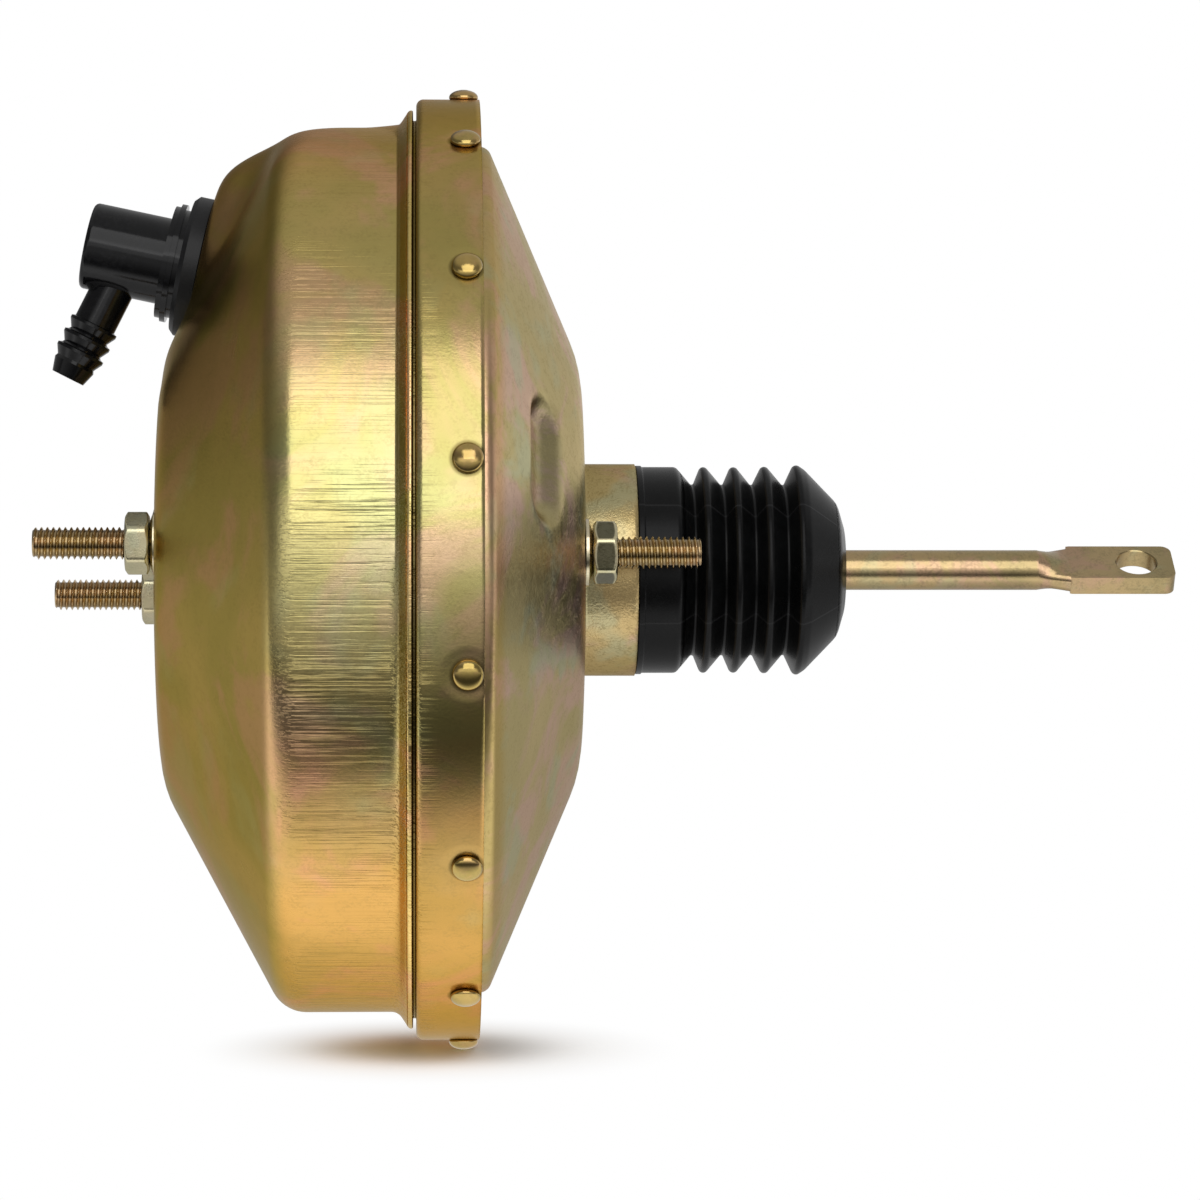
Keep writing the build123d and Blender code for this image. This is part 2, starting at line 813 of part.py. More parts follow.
def air_valve_plunger():
    pin_front = disc_rear + fit_gap + valve_travel + soft_gap
    groove_front = -key_front - soft_gap
    groove_rear = -key_front + key_length + valve_travel + soft_gap
    plunger = turned(
        (pin_front, 0),
        (pin_front, pin_radius),
        (groove_front, pin_radius),
        (groove_front, groove_radius),
        (groove_rear, groove_radius),
        (groove_rear, pin_radius),
        (plunger_head_front, pin_radius),
        (plunger_head_front, head_land_radius),
        (socket_start, head_land_radius),
        (socket_start, socket_radius),
        (socket_end, socket_radius),
        (socket_end, 0),
    )
    plunger -= Pos(ball_centre) * Sphere(ball_radius + ball_clearance)
    mouth = turned(
        (ball_centre, 0),
        (ball_centre, ball_mouth_radius),
        (socket_end - mouth_depth, ball_mouth_radius),
        (socket_end + fit_gap, socket_radius - mouth_wall),
        (socket_end + fit_gap, 0),
    )
    return plunger - mouth


def input_rod():
    shank = turned(
        (ball_centre, 0),
        (ball_centre, rod_neck_radius),
        (rod_neck_end, rod_neck_radius),
        (rod_cone_end, rod_radius),
        (collar_front, rod_radius),
        (collar_front, collar_radius),
        (collar_front + collar_length, collar_radius),
        (collar_front + collar_length, rod_radius),
        (rod_shoulder, rod_radius),
        (rod_shoulder, 0),
    )
    shank += Pos(ball_centre) * Sphere(ball_radius)
    blade_end = eye_position + eye_margin
    section = RectangleRounded(blade_thickness, blade_width, blade_edge_round)
    across = Plane((rod_shoulder, 0, 0), x_dir=(0, 0, 1), z_dir=(1, 0, 0))
    start = across * Circle(rod_radius)
    end = across.offset(blade_start - rod_shoulder) * section
    outline = RectangleRounded(2 * blade_width, blade_width, blade_corner)
    blade = Pos(blade_end - blade_width) * extrude(outline, blade_thickness / 2, both=True)
    length = blade_end - blade_start
    blade &= Pos(blade_end - length / 2) * Box(length, blade_width, blade_thickness)
    blade = blade + loft([start, end])
    eye = Cylinder(eye_radius, 2 * blade_thickness)
    for side in (-1, 1):
        cone = Cone(eye_radius, eye_radius + eye_chamfer, eye_chamfer, rotation=(90 - 90 * side, 0, 0))
        eye += Pos(0, 0, side * blade_thickness / 2) * cone
    return shank + Rot(X=blade_roll) * (blade - Pos(eye_position) * eye)


def poppet_valve():
    face_rear = poppet_face + poppet_face_length
    bead_front = poppet_rear - poppet_bead_length
    sleeve = poppet_face_radius - poppet_face_step
    return turned(
        (poppet_face, poppet_bore),
        (poppet_face, poppet_face_radius),
        (face_rear, poppet_face_radius),
        (face_rear, sleeve),
        (bead_front, sleeve),
        (bead_front, neck_bore - fit_gap),
        (poppet_rear, neck_bore - fit_gap),
        (poppet_rear, sleeve - poppet_wall),
        (face_rear, sleeve - poppet_wall),
        (face_rear, poppet_bore),
    )


cup_end = poppet_rear + fit_gap + retainer_cup_length
cup_bore = poppet_spring_radius - 2 * poppet_spring_wire


def poppet_retainer():
    outer = neck_bore - fit_gap
    return turned(
        (poppet_rear + fit_gap, outer - retainer_wall),
        (poppet_rear + fit_gap, outer),
        (cup_end, outer),
        (cup_end, cup_bore),
        (cup_end - retainer_wall, cup_bore),
        (cup_end - retainer_wall, outer - retainer_wall),
    )


def poppet_spring():
    start = poppet_face + poppet_face_length + fit_gap
    end = cup_end - retainer_wall - fit_gap
    radius = poppet_spring_radius
    return spring(start, end, radius, radius, poppet_spring_wire, poppet_spring_turns)


def valve_return_spring():
    start = cup_end + fit_gap
    end = collar_front - soft_gap
    radius = return_spring_small_radius
    return spring(start, end, radius, radius, return_spring_small_wire, return_spring_small_turns)


def main_return_spring():
    start = front_plate_rear + fit_gap
    end = -plate_rear - plate_wall - flange_length - 2 * fit_gap
    return spring(start, end, main_front_radius, main_rear_radius, main_wire, main_turns)


def air_filter():
    return ring(filter_start, filter_start + filter_length, filter_bore, neck_bore - fit_gap)


def filter_retainer():
    start = filter_start + filter_length + fit_gap
    return ring(start, start + filter_cap_length, filter_bore - filter_cap_overhang, neck_bore - fit_gap)


# Dust boot
def dust_boot():
    lip_front = hub_length + fit_gap
    collar_start = lip_front + boot_lip_length
    points = [(collar_start, boot_collar_radius), (boot_collar_end, boot_collar_radius)]
    radii = [boot_collar_round]
    for valley, step in zip(boot_valleys, boot_crest_steps):
        points += [(valley, boot_valley_radius), (valley + step, boot_crest_radius)]
        radii += [boot_valley_round, boot_crest_round]
    points += [boot_shoulder, boot_nose, (boot_end, boot_end_radius), (boot_end, rod_radius + soft_gap)]
    radii += [boot_shoulder_round, boot_nose_round, boot_end_round]
    overlap = collar_start + boot_wall / 2
    path = FilletPolyline(*points, radius=radii)
    boot = revolve(make_face(offset(path, amount=boot_wall, side=Side.RIGHT)), Axis.X)
    boot += ring(lip_front, overlap, boot_collar_radius - 2 * boot_wall, boot_lip_radius)
    boot += ring(spigot_start, overlap, hub_fit - boot_spigot_wall, hub_fit)
    return boot


# Check valve, made along +Z from the pad and then set on it
def seated(part):
    return pad_plane * part


def upright(*outline):
    """Outline of (radius, height) pairs turned about the valve's own axis."""
    return revolve(Plane.XZ * make_face(Polyline(*outline, close=True)), Axis.Z)


stem_bottom = -sheet - grommet_inner_length
flange_bottom = grommet_length + fit_gap
flange_top = flange_bottom + valve_flange_length
ring_bottom = flange_bottom + valve_flange_length / 2
disc_bottom = flange_top + fit_gap


def check_valve_grommet():
    bore = stem_radius + slide_gap
    return upright(
        (bore, stem_bottom),
        (grommet_inner_radius - grommet_chamfer, stem_bottom),
        (grommet_inner_radius, -sheet - fit_gap),
        (grommet_neck_radius, -sheet - fit_gap),
        (grommet_neck_radius, fit_gap),
        (grommet_radius, fit_gap),
        (grommet_radius, grommet_length - grommet_chamfer),
        (grommet_radius - grommet_chamfer, grommet_length),
        (bore, grommet_length),
    )


def check_valve_base():
    """Stem, barb and flange, with the seat for the disc on top."""
    barb = stem_bottom - soft_gap
    return upright(
        (stem_bore, barb - stem_barb_length),
        (stem_radius, barb - stem_barb_length),
        (stem_barb_radius, barb),
        (stem_radius, barb),
        (stem_radius, flange_bottom),
        (flange_base_radius, flange_bottom),
        (flange_base_radius, ring_bottom),
        (ring_radius, ring_bottom),
        (ring_radius, flange_top),
        (stem_bore, flange_top),
    )


def nipple_outline():
    points = [(0, 0), (nipple_radius, 0)]
    for index in range(barb_count):
        height = barb_start + index * barb_pitch
        foot = (barb_radius - barb_taper, height + barb_pitch - barb_gap)
        points += [(nipple_radius, height), (barb_radius, height + barb_rise)]
        points += [(barb_radius, height + barb_crest), foot]
    points += [(nipple_radius, nipple_length - nipple_tip_length)]
    points += [(nipple_tip_radius, nipple_length), (0, nipple_length)]
    return points


def check_valve_housing():
    """Drum with the barbed elbow nipple, open below for the disc and spring."""
    drum = upright(
        (0, flange_top + fit_gap),
        (valve_flange_radius, flange_top + fit_gap),
        (valve_flange_radius, flange_top + ring_length),
        (drum_body_radius, flange_top + ring_length),
        (drum_body_radius, valve_height),
        (0, valve_height),
    )
    drum = fillet(drum.edges().filter_by(GeomType.CIRCLE).sort_by(Axis.Z)[-1], valve_edge_round)
    lean = Pos(0, 0, nipple_joint) * Rot(X=-nipple_lean)
    drum += lean * upright(*nipple_outline())
    base = (Align.CENTER, Align.CENTER, Align.MIN)
    drum -= lean * Cylinder(nipple_bore, nipple_length + fit_gap, align=base)
    chamber = Cylinder(chamber_radius, chamber_end - flange_top, align=base)
    return drum - Pos(0, 0, flange_top) * chamber


def check_valve_disc():
    low = disc_bottom
    return upright(
        (0, low),
        (disc_radius, low),
        (disc_radius, low + disc_wall),
        (disc_pin_radius, low + disc_wall),
        (disc_pin_radius, low + disc_wall + disc_pin_height),
        (0, low + disc_wall + disc_pin_height),
    )


def check_valve_spring():
    start = disc_bottom + disc_wall + fit_gap
    end = chamber_end - fit_gap
    radius = check_spring_radius
    return Rot(Y=-90) * spring(start, end, radius, radius, check_spring_wire, check_spring_turns)


parts = {
    "front_shell": front_shell(),
    "rear_shell": rear_shell(),
    "rim_rivets": rim_rivets(),
    "front_reinforcement_plate": front_plate(),
    "rear_reinforcement_plate": rear_plate(),
    "master_cylinder_studs": cylinder_side(
        stud(front_plate_rear + fit_gap, cylinder_nut_end, -shell_depth - cylinder_stud_reach, -1)
    ),
    "master_cylinder_washers": cylinder_side(washer(front_face, -1)),
    "master_cylinder_nuts": cylinder_side(nut(cylinder_nut_seat, -1, cylinder_nut_roll)),
    "firewall_studs": firewall_side(
        stud(rear_plate_front - fit_gap, firewall_nut_end, firewall_stud_reach, 1)
    ),
    "firewall_washers": firewall_side(washer(rear_face, 1)),
    "firewall_nuts": firewall_side(nut(firewall_nut_seat, 1, firewall_nut_roll)),
    "front_seal": front_seal(),
    "front_seal_retainer": front_seal_retainer(),
    "hub_seal": hub_seal(),
    "hub_bushing": hub_bushing(),
    "hub_seal_retainer": hub_seal_retainer(),
    "diaphragm": diaphragm(),
    "main_return_spring": main_return_spring(),
    "dust_boot": dust_boot(),
    "valve_body": valve_body(),
    "diaphragm_plate": diaphragm_plate(),
    "reaction_disc": rod(disc_front, disc_rear, disc_pocket_radius - soft_gap),
    "output_rod": output_rod(),
    "output_rod_adjuster": output_rod_adjuster(),
    "output_rod_retainer": output_rod_retainer(),
    "plunger_key": plunger_key(),
    "poppet_valve": poppet_valve(),
    "poppet_retainer": poppet_retainer(),
    "poppet_spring": poppet_spring(),
    "valve_return_spring": valve_return_spring(),
    "air_filter": air_filter(),
    "filter_retainer": filter_retainer(),
    "air_valve_plunger": air_valve_plunger(),
    "input_rod": input_rod(),
    "check_valve_grommet": seated(check_valve_grommet()),
    "check_valve_base": seated(check_valve_base()),
    "check_valve_housing": seated(check_valve_housing()),
    "check_valve_disc": seated(check_valve_disc()),
    "check_valve_spring": seated(check_valve_spring()),
}
os.makedirs("parts", exist_ok=True)
for name, shape in parts.items():
    solids = Compound(shape) if isinstance(shape, list) else shape
    export_step(solids, f"parts/{name}.step")
    print(name, len(solids.solids()), round(solids.volume))
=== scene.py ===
import json
import math

import bmesh
import bpy
import numpy as np
from mathutils import Matrix, Vector


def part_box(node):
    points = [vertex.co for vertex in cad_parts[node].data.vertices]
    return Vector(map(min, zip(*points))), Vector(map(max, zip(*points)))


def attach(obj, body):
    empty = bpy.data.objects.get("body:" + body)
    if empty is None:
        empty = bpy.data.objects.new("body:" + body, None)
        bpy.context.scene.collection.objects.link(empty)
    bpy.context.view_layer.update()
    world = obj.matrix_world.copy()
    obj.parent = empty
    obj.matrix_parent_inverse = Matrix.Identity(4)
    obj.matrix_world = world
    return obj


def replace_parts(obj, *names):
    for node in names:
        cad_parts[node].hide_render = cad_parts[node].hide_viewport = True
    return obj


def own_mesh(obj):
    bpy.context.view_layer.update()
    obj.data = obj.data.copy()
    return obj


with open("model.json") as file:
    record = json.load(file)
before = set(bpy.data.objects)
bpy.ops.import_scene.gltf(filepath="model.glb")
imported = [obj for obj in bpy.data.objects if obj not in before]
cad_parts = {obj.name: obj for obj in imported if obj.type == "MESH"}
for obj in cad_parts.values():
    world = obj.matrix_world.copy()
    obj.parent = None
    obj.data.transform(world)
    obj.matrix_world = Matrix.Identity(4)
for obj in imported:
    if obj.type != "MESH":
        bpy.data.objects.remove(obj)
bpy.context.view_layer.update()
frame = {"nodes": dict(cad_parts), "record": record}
nodes = frame["nodes"]
mm = 0.001  # sizes of pieces are in mm and degrees; places in finishes and in the studio's fades are in metres
bpy.context.scene.view_settings.view_transform = "Standard"
print("frame loaded")

camera = {"place": (-50.0, -1400.0, -9.4), "target": (6.0, 0.0, -9.4), "lens": 134.4}


# a camera or lamp in its place and turned to face a target
def aimed(name, data, place, target):
    made = bpy.data.objects.new(name, data)
    made.location = Vector(place) * mm
    made.rotation_euler = (Vector(target) * mm - made.location).to_track_quat("-Z", "Y").to_euler()
    bpy.context.collection.objects.link(made)
    return made


def makeCamera():
    data = bpy.data.cameras.new("camera")
    data.lens = camera["lens"]
    data.sensor_width = 36.0
    data.clip_start = 0.05
    data.clip_end = 100.0
    bpy.context.scene.camera = aimed("camera", data, camera["place"], camera["target"])


def addNode(tree, kind, **settings):
    made = tree.nodes.new(kind)
    for name, value in settings.items():
        setattr(made, name, value)
    return made


# a node's output, so that sums are written as plain expressions
class Value:
    def __init__(self, socket):
        self.socket = socket

    def __add__(self, other):
        return maths("ADD", self, other)

    def __sub__(self, other):
        return maths("SUBTRACT", self, other)

    def __mul__(self, other):
        return maths("MULTIPLY", self, other)

    def __truediv__(self, other):
        return maths("DIVIDE", self, other)


def treeOf(*values):
    return next(value.socket.id_data for value in values if isinstance(value, Value))


def feed(socket, value):
    if isinstance(value, Value):
        socket.id_data.links.new(value.socket, socket)
    else:
        socket.default_value = value


# a new node with its inputs fed, as the value of one of its outputs
def wired(tree, kind, inputs, give=0, **settings):
    made = addNode(tree, kind, **settings)
    for label, value in inputs.items():
        feed(made.inputs[label], value)
    return Value(made.outputs[give])


def maths(operation, *values):
    return wired(treeOf(*values), "ShaderNodeMath", dict(enumerate(values)), operation=operation)


def hypot(a, b):
    return maths("SQRT", a * a + b * b)


# a smooth step from one level to another as the value goes from low to high
def mapRange(value, low, high, toLow=0.0, toHigh=1.0):
    inputs = {"Value": value, "From Min": low, "From Max": high, "To Min": toLow, "To Max": toHigh}
    return wired(treeOf(value), "ShaderNodeMapRange", inputs, "Result", interpolation_type="SMOOTHSTEP")


# 1 inside a span of the value, fading to 0 over the soft margin on both sides
def between(value, low, high, soft):
    return mapRange(value, low - soft, low) * mapRange(value, high, high + soft, 1.0, 0.0)


def mixFloat(share, first, second):
    return wired(treeOf(share), "ShaderNodeMix", {0: share, 2: first, 3: second}, data_type="FLOAT")


def mixColour(share, first, second, mode="MIX"):
    first, second = [c if isinstance(c, Value) else (*c, 1.0) for c in (first, second)]
    inputs = {"Factor": share, 6: first, 7: second}
    return wired(treeOf(share, first, second), "ShaderNodeMix", inputs, 2, data_type="RGBA", blend_type=mode)


def tinted(colour, tint):
    return mixColour(1.0, colour, tint, "MULTIPLY")


def colourRamp(value, stops):
    made = addNode(treeOf(value), "ShaderNodeValToRGB")
    elements = made.color_ramp.elements
    while len(elements) < len(stops):
        elements.new(0.5)
    for element, (place, colour) in zip(elements, stops):
        element.position = place
        element.color = (*colour, 1.0)
    feed(made.inputs["Fac"], value)
    return Value(made.outputs["Color"])


def noise(vector, scale, detail=3.0, rough=0.5, distortion=0.0):
    inputs = {"Vector": vector, "Scale": scale, "Detail": detail, "Roughness": rough, "Distortion": distortion}
    return wired(treeOf(vector), "ShaderNodeTexNoise", inputs, "Fac")


def stretched(vector, scale, offset=(0, 0, 0)):
    return wired(treeOf(vector), "ShaderNodeMapping", {"Vector": vector, "Location": offset, "Scale": scale})


def separated(vector):
    made = addNode(treeOf(vector), "ShaderNodeSeparateXYZ")
    feed(made.inputs[0], vector)
    return [Value(socket) for socket in made.outputs]


def combined(x, y, z):
    return wired(treeOf(x, y, z), "ShaderNodeCombineXYZ", {"X": x, "Y": y, "Z": z})


# how far an angle lies from the nearest of first, first + pitch, first + 2 pitch and so on
def fromNearest(angle, first, pitch):
    turn = (angle - first) / pitch
    return (turn - maths("ROUND", turn)) * pitch


def addInputs(tree, inputs):
    for label, (kind, value) in inputs.items():
        socket = tree.interface.new_socket(name=label, in_out="INPUT", socket_type="NodeSocket" + kind)
        if value is not None:
            socket.default_value = value


def outputsOf(node):
    return {socket.name: Value(socket) for socket in node.outputs}


# a shared shader effect; build turns its inputs into its outputs
def newGroup(name, inputs, build):
    group = bpy.data.node_groups.new(name, "ShaderNodeTree")
    addInputs(group, {"Vector": ("Vector", None), **inputs})
    results = build(outputsOf(addNode(group, "NodeGroupInput")))
    for label, value in results.items():
        kind = "NodeSocketColor" if value.socket.type == "RGBA" else "NodeSocketFloat"
        group.interface.new_socket(name=label, in_out="OUTPUT", socket_type=kind)
    out = addNode(group, "NodeGroupOutput")
    for label, value in results.items():
        feed(out.inputs[label], value)
    return group


# where a point lies along, from and round the booster's axis, and the lines that a press draws along it
def turnedMarksOf(given):
    vector, scale = given["Vector"], given["Line Scale"]
    x, y, z = separated(vector)
    fine = stretched(vector, (0.014, 1.0, 1.0))
    broad = stretched(vector, (0.03, 1.0, 1.0), (0.2, 0.4, 0.1))
    return {
        "Draw Lines": noise(fine, scale, 3.0, 0.65), "Ridges": noise(broad, scale * 0.3, 2.0, 0.5),
        "Radius": hypot(y, z), "Along": x,
        "Angle": maths("ARCTAN2", z, y * -1.0), "Height": z,
    }


# the thin passivate film on zinc: patches that drift between gold, olive, rose and pale green
def zincFilmOf(given):
    vector, scale = given["Vector"], given["Patch Scale"]
    shifted = stretched(vector, (1.0, 1.0, 1.0), (0.37, 0.11, 0.59))
    broad = noise(vector, scale, 3.0, 0.55, 0.4)
    rosy = noise(shifted, scale * 1.7, 4.0, 0.6, 0.8)
    pale = noise(shifted, scale * 2.6, 3.0, 0.55, 0.5)
    colour = mixColour(mapRange(broad, 0.4, 0.6), given["Olive"], given["Gold"])
    colour = mixColour(mapRange(rosy, 0.47, 0.6) * given["Rose Share"], colour, given["Rose"])
    colour = mixColour(mapRange(pale, 0.52, 0.68) * given["Green Share"], colour, given["Green"])
    return {"Color": colour, "Patch": broad, "Cloud": pale}


# fine pits and specks left in plated or moulded skin, as a height and as a mask
def skinGrainOf(given):
    vector, scale = given["Vector"], given["Grain Scale"]
    grain = noise(vector, scale, 2.0, 0.6)
    blotch = noise(vector, scale * 0.22, 3.0, 0.6)
    specks = mapRange(grain, 0.42, 0.62) * mapRange(blotch, 0.4, 0.6)
    return {"Height": grain + blotch * 0.5, "Specks": specks * given["Speck Amount"]}


turnedMarks = newGroup("turnedMarks", {"Line Scale": ("Float", 1900.0)}, turnedMarksOf)
zincFilm = newGroup("zincFilm", {
    "Patch Scale": ("Float", 14.0),
    "Gold": ("Color", (0.55, 0.42, 0.15, 1)), "Olive": ("Color", (0.42, 0.38, 0.14, 1)),
    "Rose": ("Color", (0.6, 0.38, 0.27, 1)), "Green": ("Color", (0.46, 0.48, 0.25, 1)),
    "Rose Share": ("Float", 0.7), "Green Share": ("Float", 0.5),
}, zincFilmOf)
skinGrain = newGroup("skinGrain", {"Grain Scale": ("Float", 1000.0), "Speck Amount": ("Float", 0.5)}, skinGrainOf)


def newMaterial(name, inputs):
    made = bpy.data.materials.new(name)
    made.use_nodes = True
    shader = made.node_tree.nodes["Principled BSDF"]
    for label, value in inputs.items():
        feed(shader.inputs[label], value)
    coords = wired(made.node_tree, "ShaderNodeTexCoord", {}, "Object")
    return made, shader, coords


def useGroup(group, coords, values={}):
    made = addNode(treeOf(coords), "ShaderNodeGroup", node_tree=group)
    for label, value in {"Vector": coords, **values}.items():
        feed(made.inputs[label], value)
    return outputsOf(made)


def bump(shader, height, strength, distance):
    inputs = {"Strength": strength, "Distance": distance, "Height": height}
    feed(shader.inputs["Normal"], wired(treeOf(height), "ShaderNodeBump", inputs))


def filmOf(coords, look):
    gold, olive, rose, green = [(*tone, 1) for tone in look["tones"]]
    return useGroup(zincFilm, coords, {
        "Patch Scale": look["patch"], "Gold": gold, "Olive": olive, "Rose": rose, "Green": green,
        "Rose Share": look["shares"][0], "Green Share": look["shares"][1],
    })


def grainOf(coords, look):
    return useGroup(skinGrain, coords, {"Grain Scale": look["grain"], "Speck Amount": look["speck"]})


frontZinc = {  # tones are gold, olive, rose and green, and shares rose and green, in all the zinc looks
    "rough": 0.27, "patch": 11.0, "shares": (0.7, 0.5), "grain": 1100.0, "speck": 0.5,
    "tones": ((0.6, 0.49, 0.2), (0.47, 0.42, 0.16), (0.66, 0.43, 0.28), (0.5, 0.52, 0.26)),
    "edge": (0.78, 0.66, 0.42), "coneTint": (0.82, 0.72, 0.58), "skirtTint": (0.86, 0.84, 0.78),
    "lipHighlight": (1.35, 1.15, 1.05), "lineShade": (0.24, 0.18, 0.06), "paintedShadow": (0.1, 0.07, 0.02),
    "coneFade": (-0.089, -0.095), "skirtFade": (-0.0515, -0.0512), "lip": (-0.0548, -0.0528, 0.0008),
    "lipFade": (0.1405, 0.1425), "groove": (-0.0522, -0.0514, 0.0003), "bottom": -0.146, "wander": 0.25,
    "lines": (-0.083, -0.0545, 0.012), "lineDepth": 0.7, "ridgeDepth": 0.35,
    "rivetFade": (0.144, 0.1455), "dimple": (0.0085, 0.0048), "dimpleDepth": 1.6, "outline": (0.0058, 0.0046),
    "skirtShare": 0.8, "lineShare": 0.38, "ridgeShare": 0.22, "speckShare": 0.35, "grooveShare": 0.85,
    "headShadowShare": 0.7,
    # tints along the drum's height; besides tone they paint light: the orange towards the bottom is painted floor
    # bounce and the pale, bluish band at mid height is a painted highlight
    "heightTintsAndPaintedLight": (  # bottom of the drum to its top
        (0.0, (1.02, 0.72, 0.5)), (0.16, (1.12, 0.78, 0.55)), (0.26, (1.12, 0.82, 0.78)), (0.36, (1.0, 0.95, 0.9)),
        (0.5, (1.08, 1.08, 1.18)), (0.62, (1.02, 1.03, 1.0)), (0.8, (0.97, 0.88, 0.76)), (0.96, (1.14, 0.88, 0.92)),
    ),
}


def frontShellFinish(look):
    made, shader, coords = newMaterial("frontZinc", {"Metallic": 1.0, "Specular Tint": (*look["edge"], 1)})
    film, marks, grain = filmOf(coords, look), useGroup(turnedMarks, coords), grainOf(coords, look)
    along = marks["Along"]
    # the lip's crest is painted paler and peachier: a painted highlight
    lip = between(along, *look["lip"]) * mapRange(marks["Radius"], *look["lipFade"])
    share = marks["Height"] * (-0.5 / look["bottom"]) + 0.5
    # the drum's tint by height, partly painted light: painted floor bounce below and a painted highlight tone at mid
    # height
    tint = colourRamp((film["Cloud"] - 0.5) * look["wander"] + share, look["heightTintsAndPaintedLight"])
    tint = mixColour(mapRange(along, *look["coneFade"]), tint, look["coneTint"])
    tint = mixColour(mapRange(along, *look["skirtFade"]) * look["skirtShare"], tint, tinted(tint, look["skirtTint"]))
    tint = mixColour(lip, tint, look["lipHighlight"])
    colour = tinted(film["Color"], tint)

    # the press draws lines along the drum, strongest beside the lip and in a few bands round it
    bands = noise(stretched(coords, (0.4, 1.0, 1.0)), 26.0, 2.0, 0.6)
    drawn = between(along, *look["lines"]) * mapRange(bands, 0.38, 0.62, 0.2, 0.9)
    lines = mapRange(marks["Draw Lines"], 0.5, 0.68) * drawn
    ridges = mapRange(marks["Ridges"], 0.56, 0.7) * drawn
    dimple, outline = rivetDimple(marks, look)
    groove = between(along, *look["groove"])
    scored = maths("MAXIMUM", lines * look["lineShare"], ridges * look["ridgeShare"])
    colour = mixColour(scored, colour, look["lineShade"])
    colour = mixColour(grain["Specks"] * look["speckShare"], colour, look["lineShade"])
    # painted shadow in the lip's groove and round each rivet head
    shadowMask = maths("MAXIMUM", groove * look["grooveShare"], outline * look["headShadowShare"])
    colour = mixColour(shadowMask, colour, look["paintedShadow"])
    feed(shader.inputs["Base Color"], colour)
    feed(shader.inputs["Roughness"], film["Patch"] * 0.18 + lines * 0.10 + (look["rough"] - 0.11))
    relief = grain["Height"] * 0.22 - lines * look["lineDepth"] - ridges * look["ridgeDepth"]
    bump(shader, relief + film["Cloud"] * 0.6 - dimple * look["dimpleDepth"], 0.5, 0.0003)
    return made


# a shallow ring pressed into the skirt round each rivet, and the mask of a painted shadow line where the head meets
# it
def rivetDimple(marks, look):
    pitch = 2 * math.pi / rimRivet["count"]
    around = fromNearest(marks["Angle"], math.radians(rimRivet["first"]), pitch) * (rimRivet["seat"] * mm)
    side = marks["Along"] - rimRivet["x"] * mm
    away = hypot(around, side)
    skirt = mapRange(marks["Radius"], *look["rivetFade"])
    return mapRange(away, *look["dimple"]) * skirt, mapRange(away, *look["outline"]) * skirt


rearZinc = {
    "rough": 0.33, "patch": 16.0, "shares": (0.9, 0.6), "grain": 1300.0, "speck": 1.0,
    "tones": ((0.56, 0.46, 0.26), (0.49, 0.42, 0.22), (0.62, 0.43, 0.37), (0.45, 0.5, 0.37)),
    "edge": (0.8, 0.72, 0.56), "rimTint": (0.95, 0.84, 0.62), "hubTint": (0.98, 0.88, 0.72),
    "shade": (0.16, 0.12, 0.04), "pocketShade": 0.25, "pocketWear": 0.3, "hubWear": 0.45,
    "rimFade": (0.120, 0.128), "hubFade": (0.0365, 0.0345),
}


def rearShellFinish(look):
    made, shader, coords = newMaterial("rearZinc", {"Metallic": 1.0, "Specular Tint": (*look["edge"], 1)})
    film, marks, grain = filmOf(coords, look), useGroup(turnedMarks, coords), grainOf(coords, look)
    rim = mapRange(marks["Radius"], *look["rimFade"])
    hub = mapRange(marks["Radius"], *look["hubFade"])
    pocket = pocketMask(marks)
    worn = maths("MAXIMUM", hub * look["hubWear"], pocket * look["pocketWear"])
    colour = mixColour(rim, film["Color"], tinted(film["Color"], look["rimTint"]))
    colour = mixColour(hub, colour, tinted(colour, look["hubTint"]))
    # the pockets are painted darker: painted shade in their recess; the same colour also tints the real specks
    colour = mixColour(pocket * look["pocketShade"], colour, look["shade"])
    colour = mixColour(grain["Specks"] * (worn * 0.35 + 0.1), colour, look["shade"])
    feed(shader.inputs["Base Color"], colour)
    feed(shader.inputs["Roughness"], film["Patch"] * 0.16 + grain["Specks"] * 0.12 + (look["rough"] - 0.1))
    bump(shader, grain["Height"] * (worn * 1.4 + 0.25) + film["Cloud"] * 0.5, 0.5, 0.0003)
    return made


# 1 inside the two oblong pockets of the rear cone
def pocketMask(marks):
    centre, long = rearPocket["centre"], rearPocket["length"] / 2
    edge, edgeFade = rearPocket["shadeEdge"]
    half = rearPocket["width"] / 2 - edge
    arc = fromNearest(marks["Angle"], math.radians(rearPocket["angles"][0]), math.pi) * marks["Radius"]
    nearArc = mapRange(maths("ABSOLUTE", arc), long * mm, (long - edge) * mm)
    return nearArc * between(marks["Radius"], (centre - half) * mm, (centre + half) * mm, edgeFade * mm)


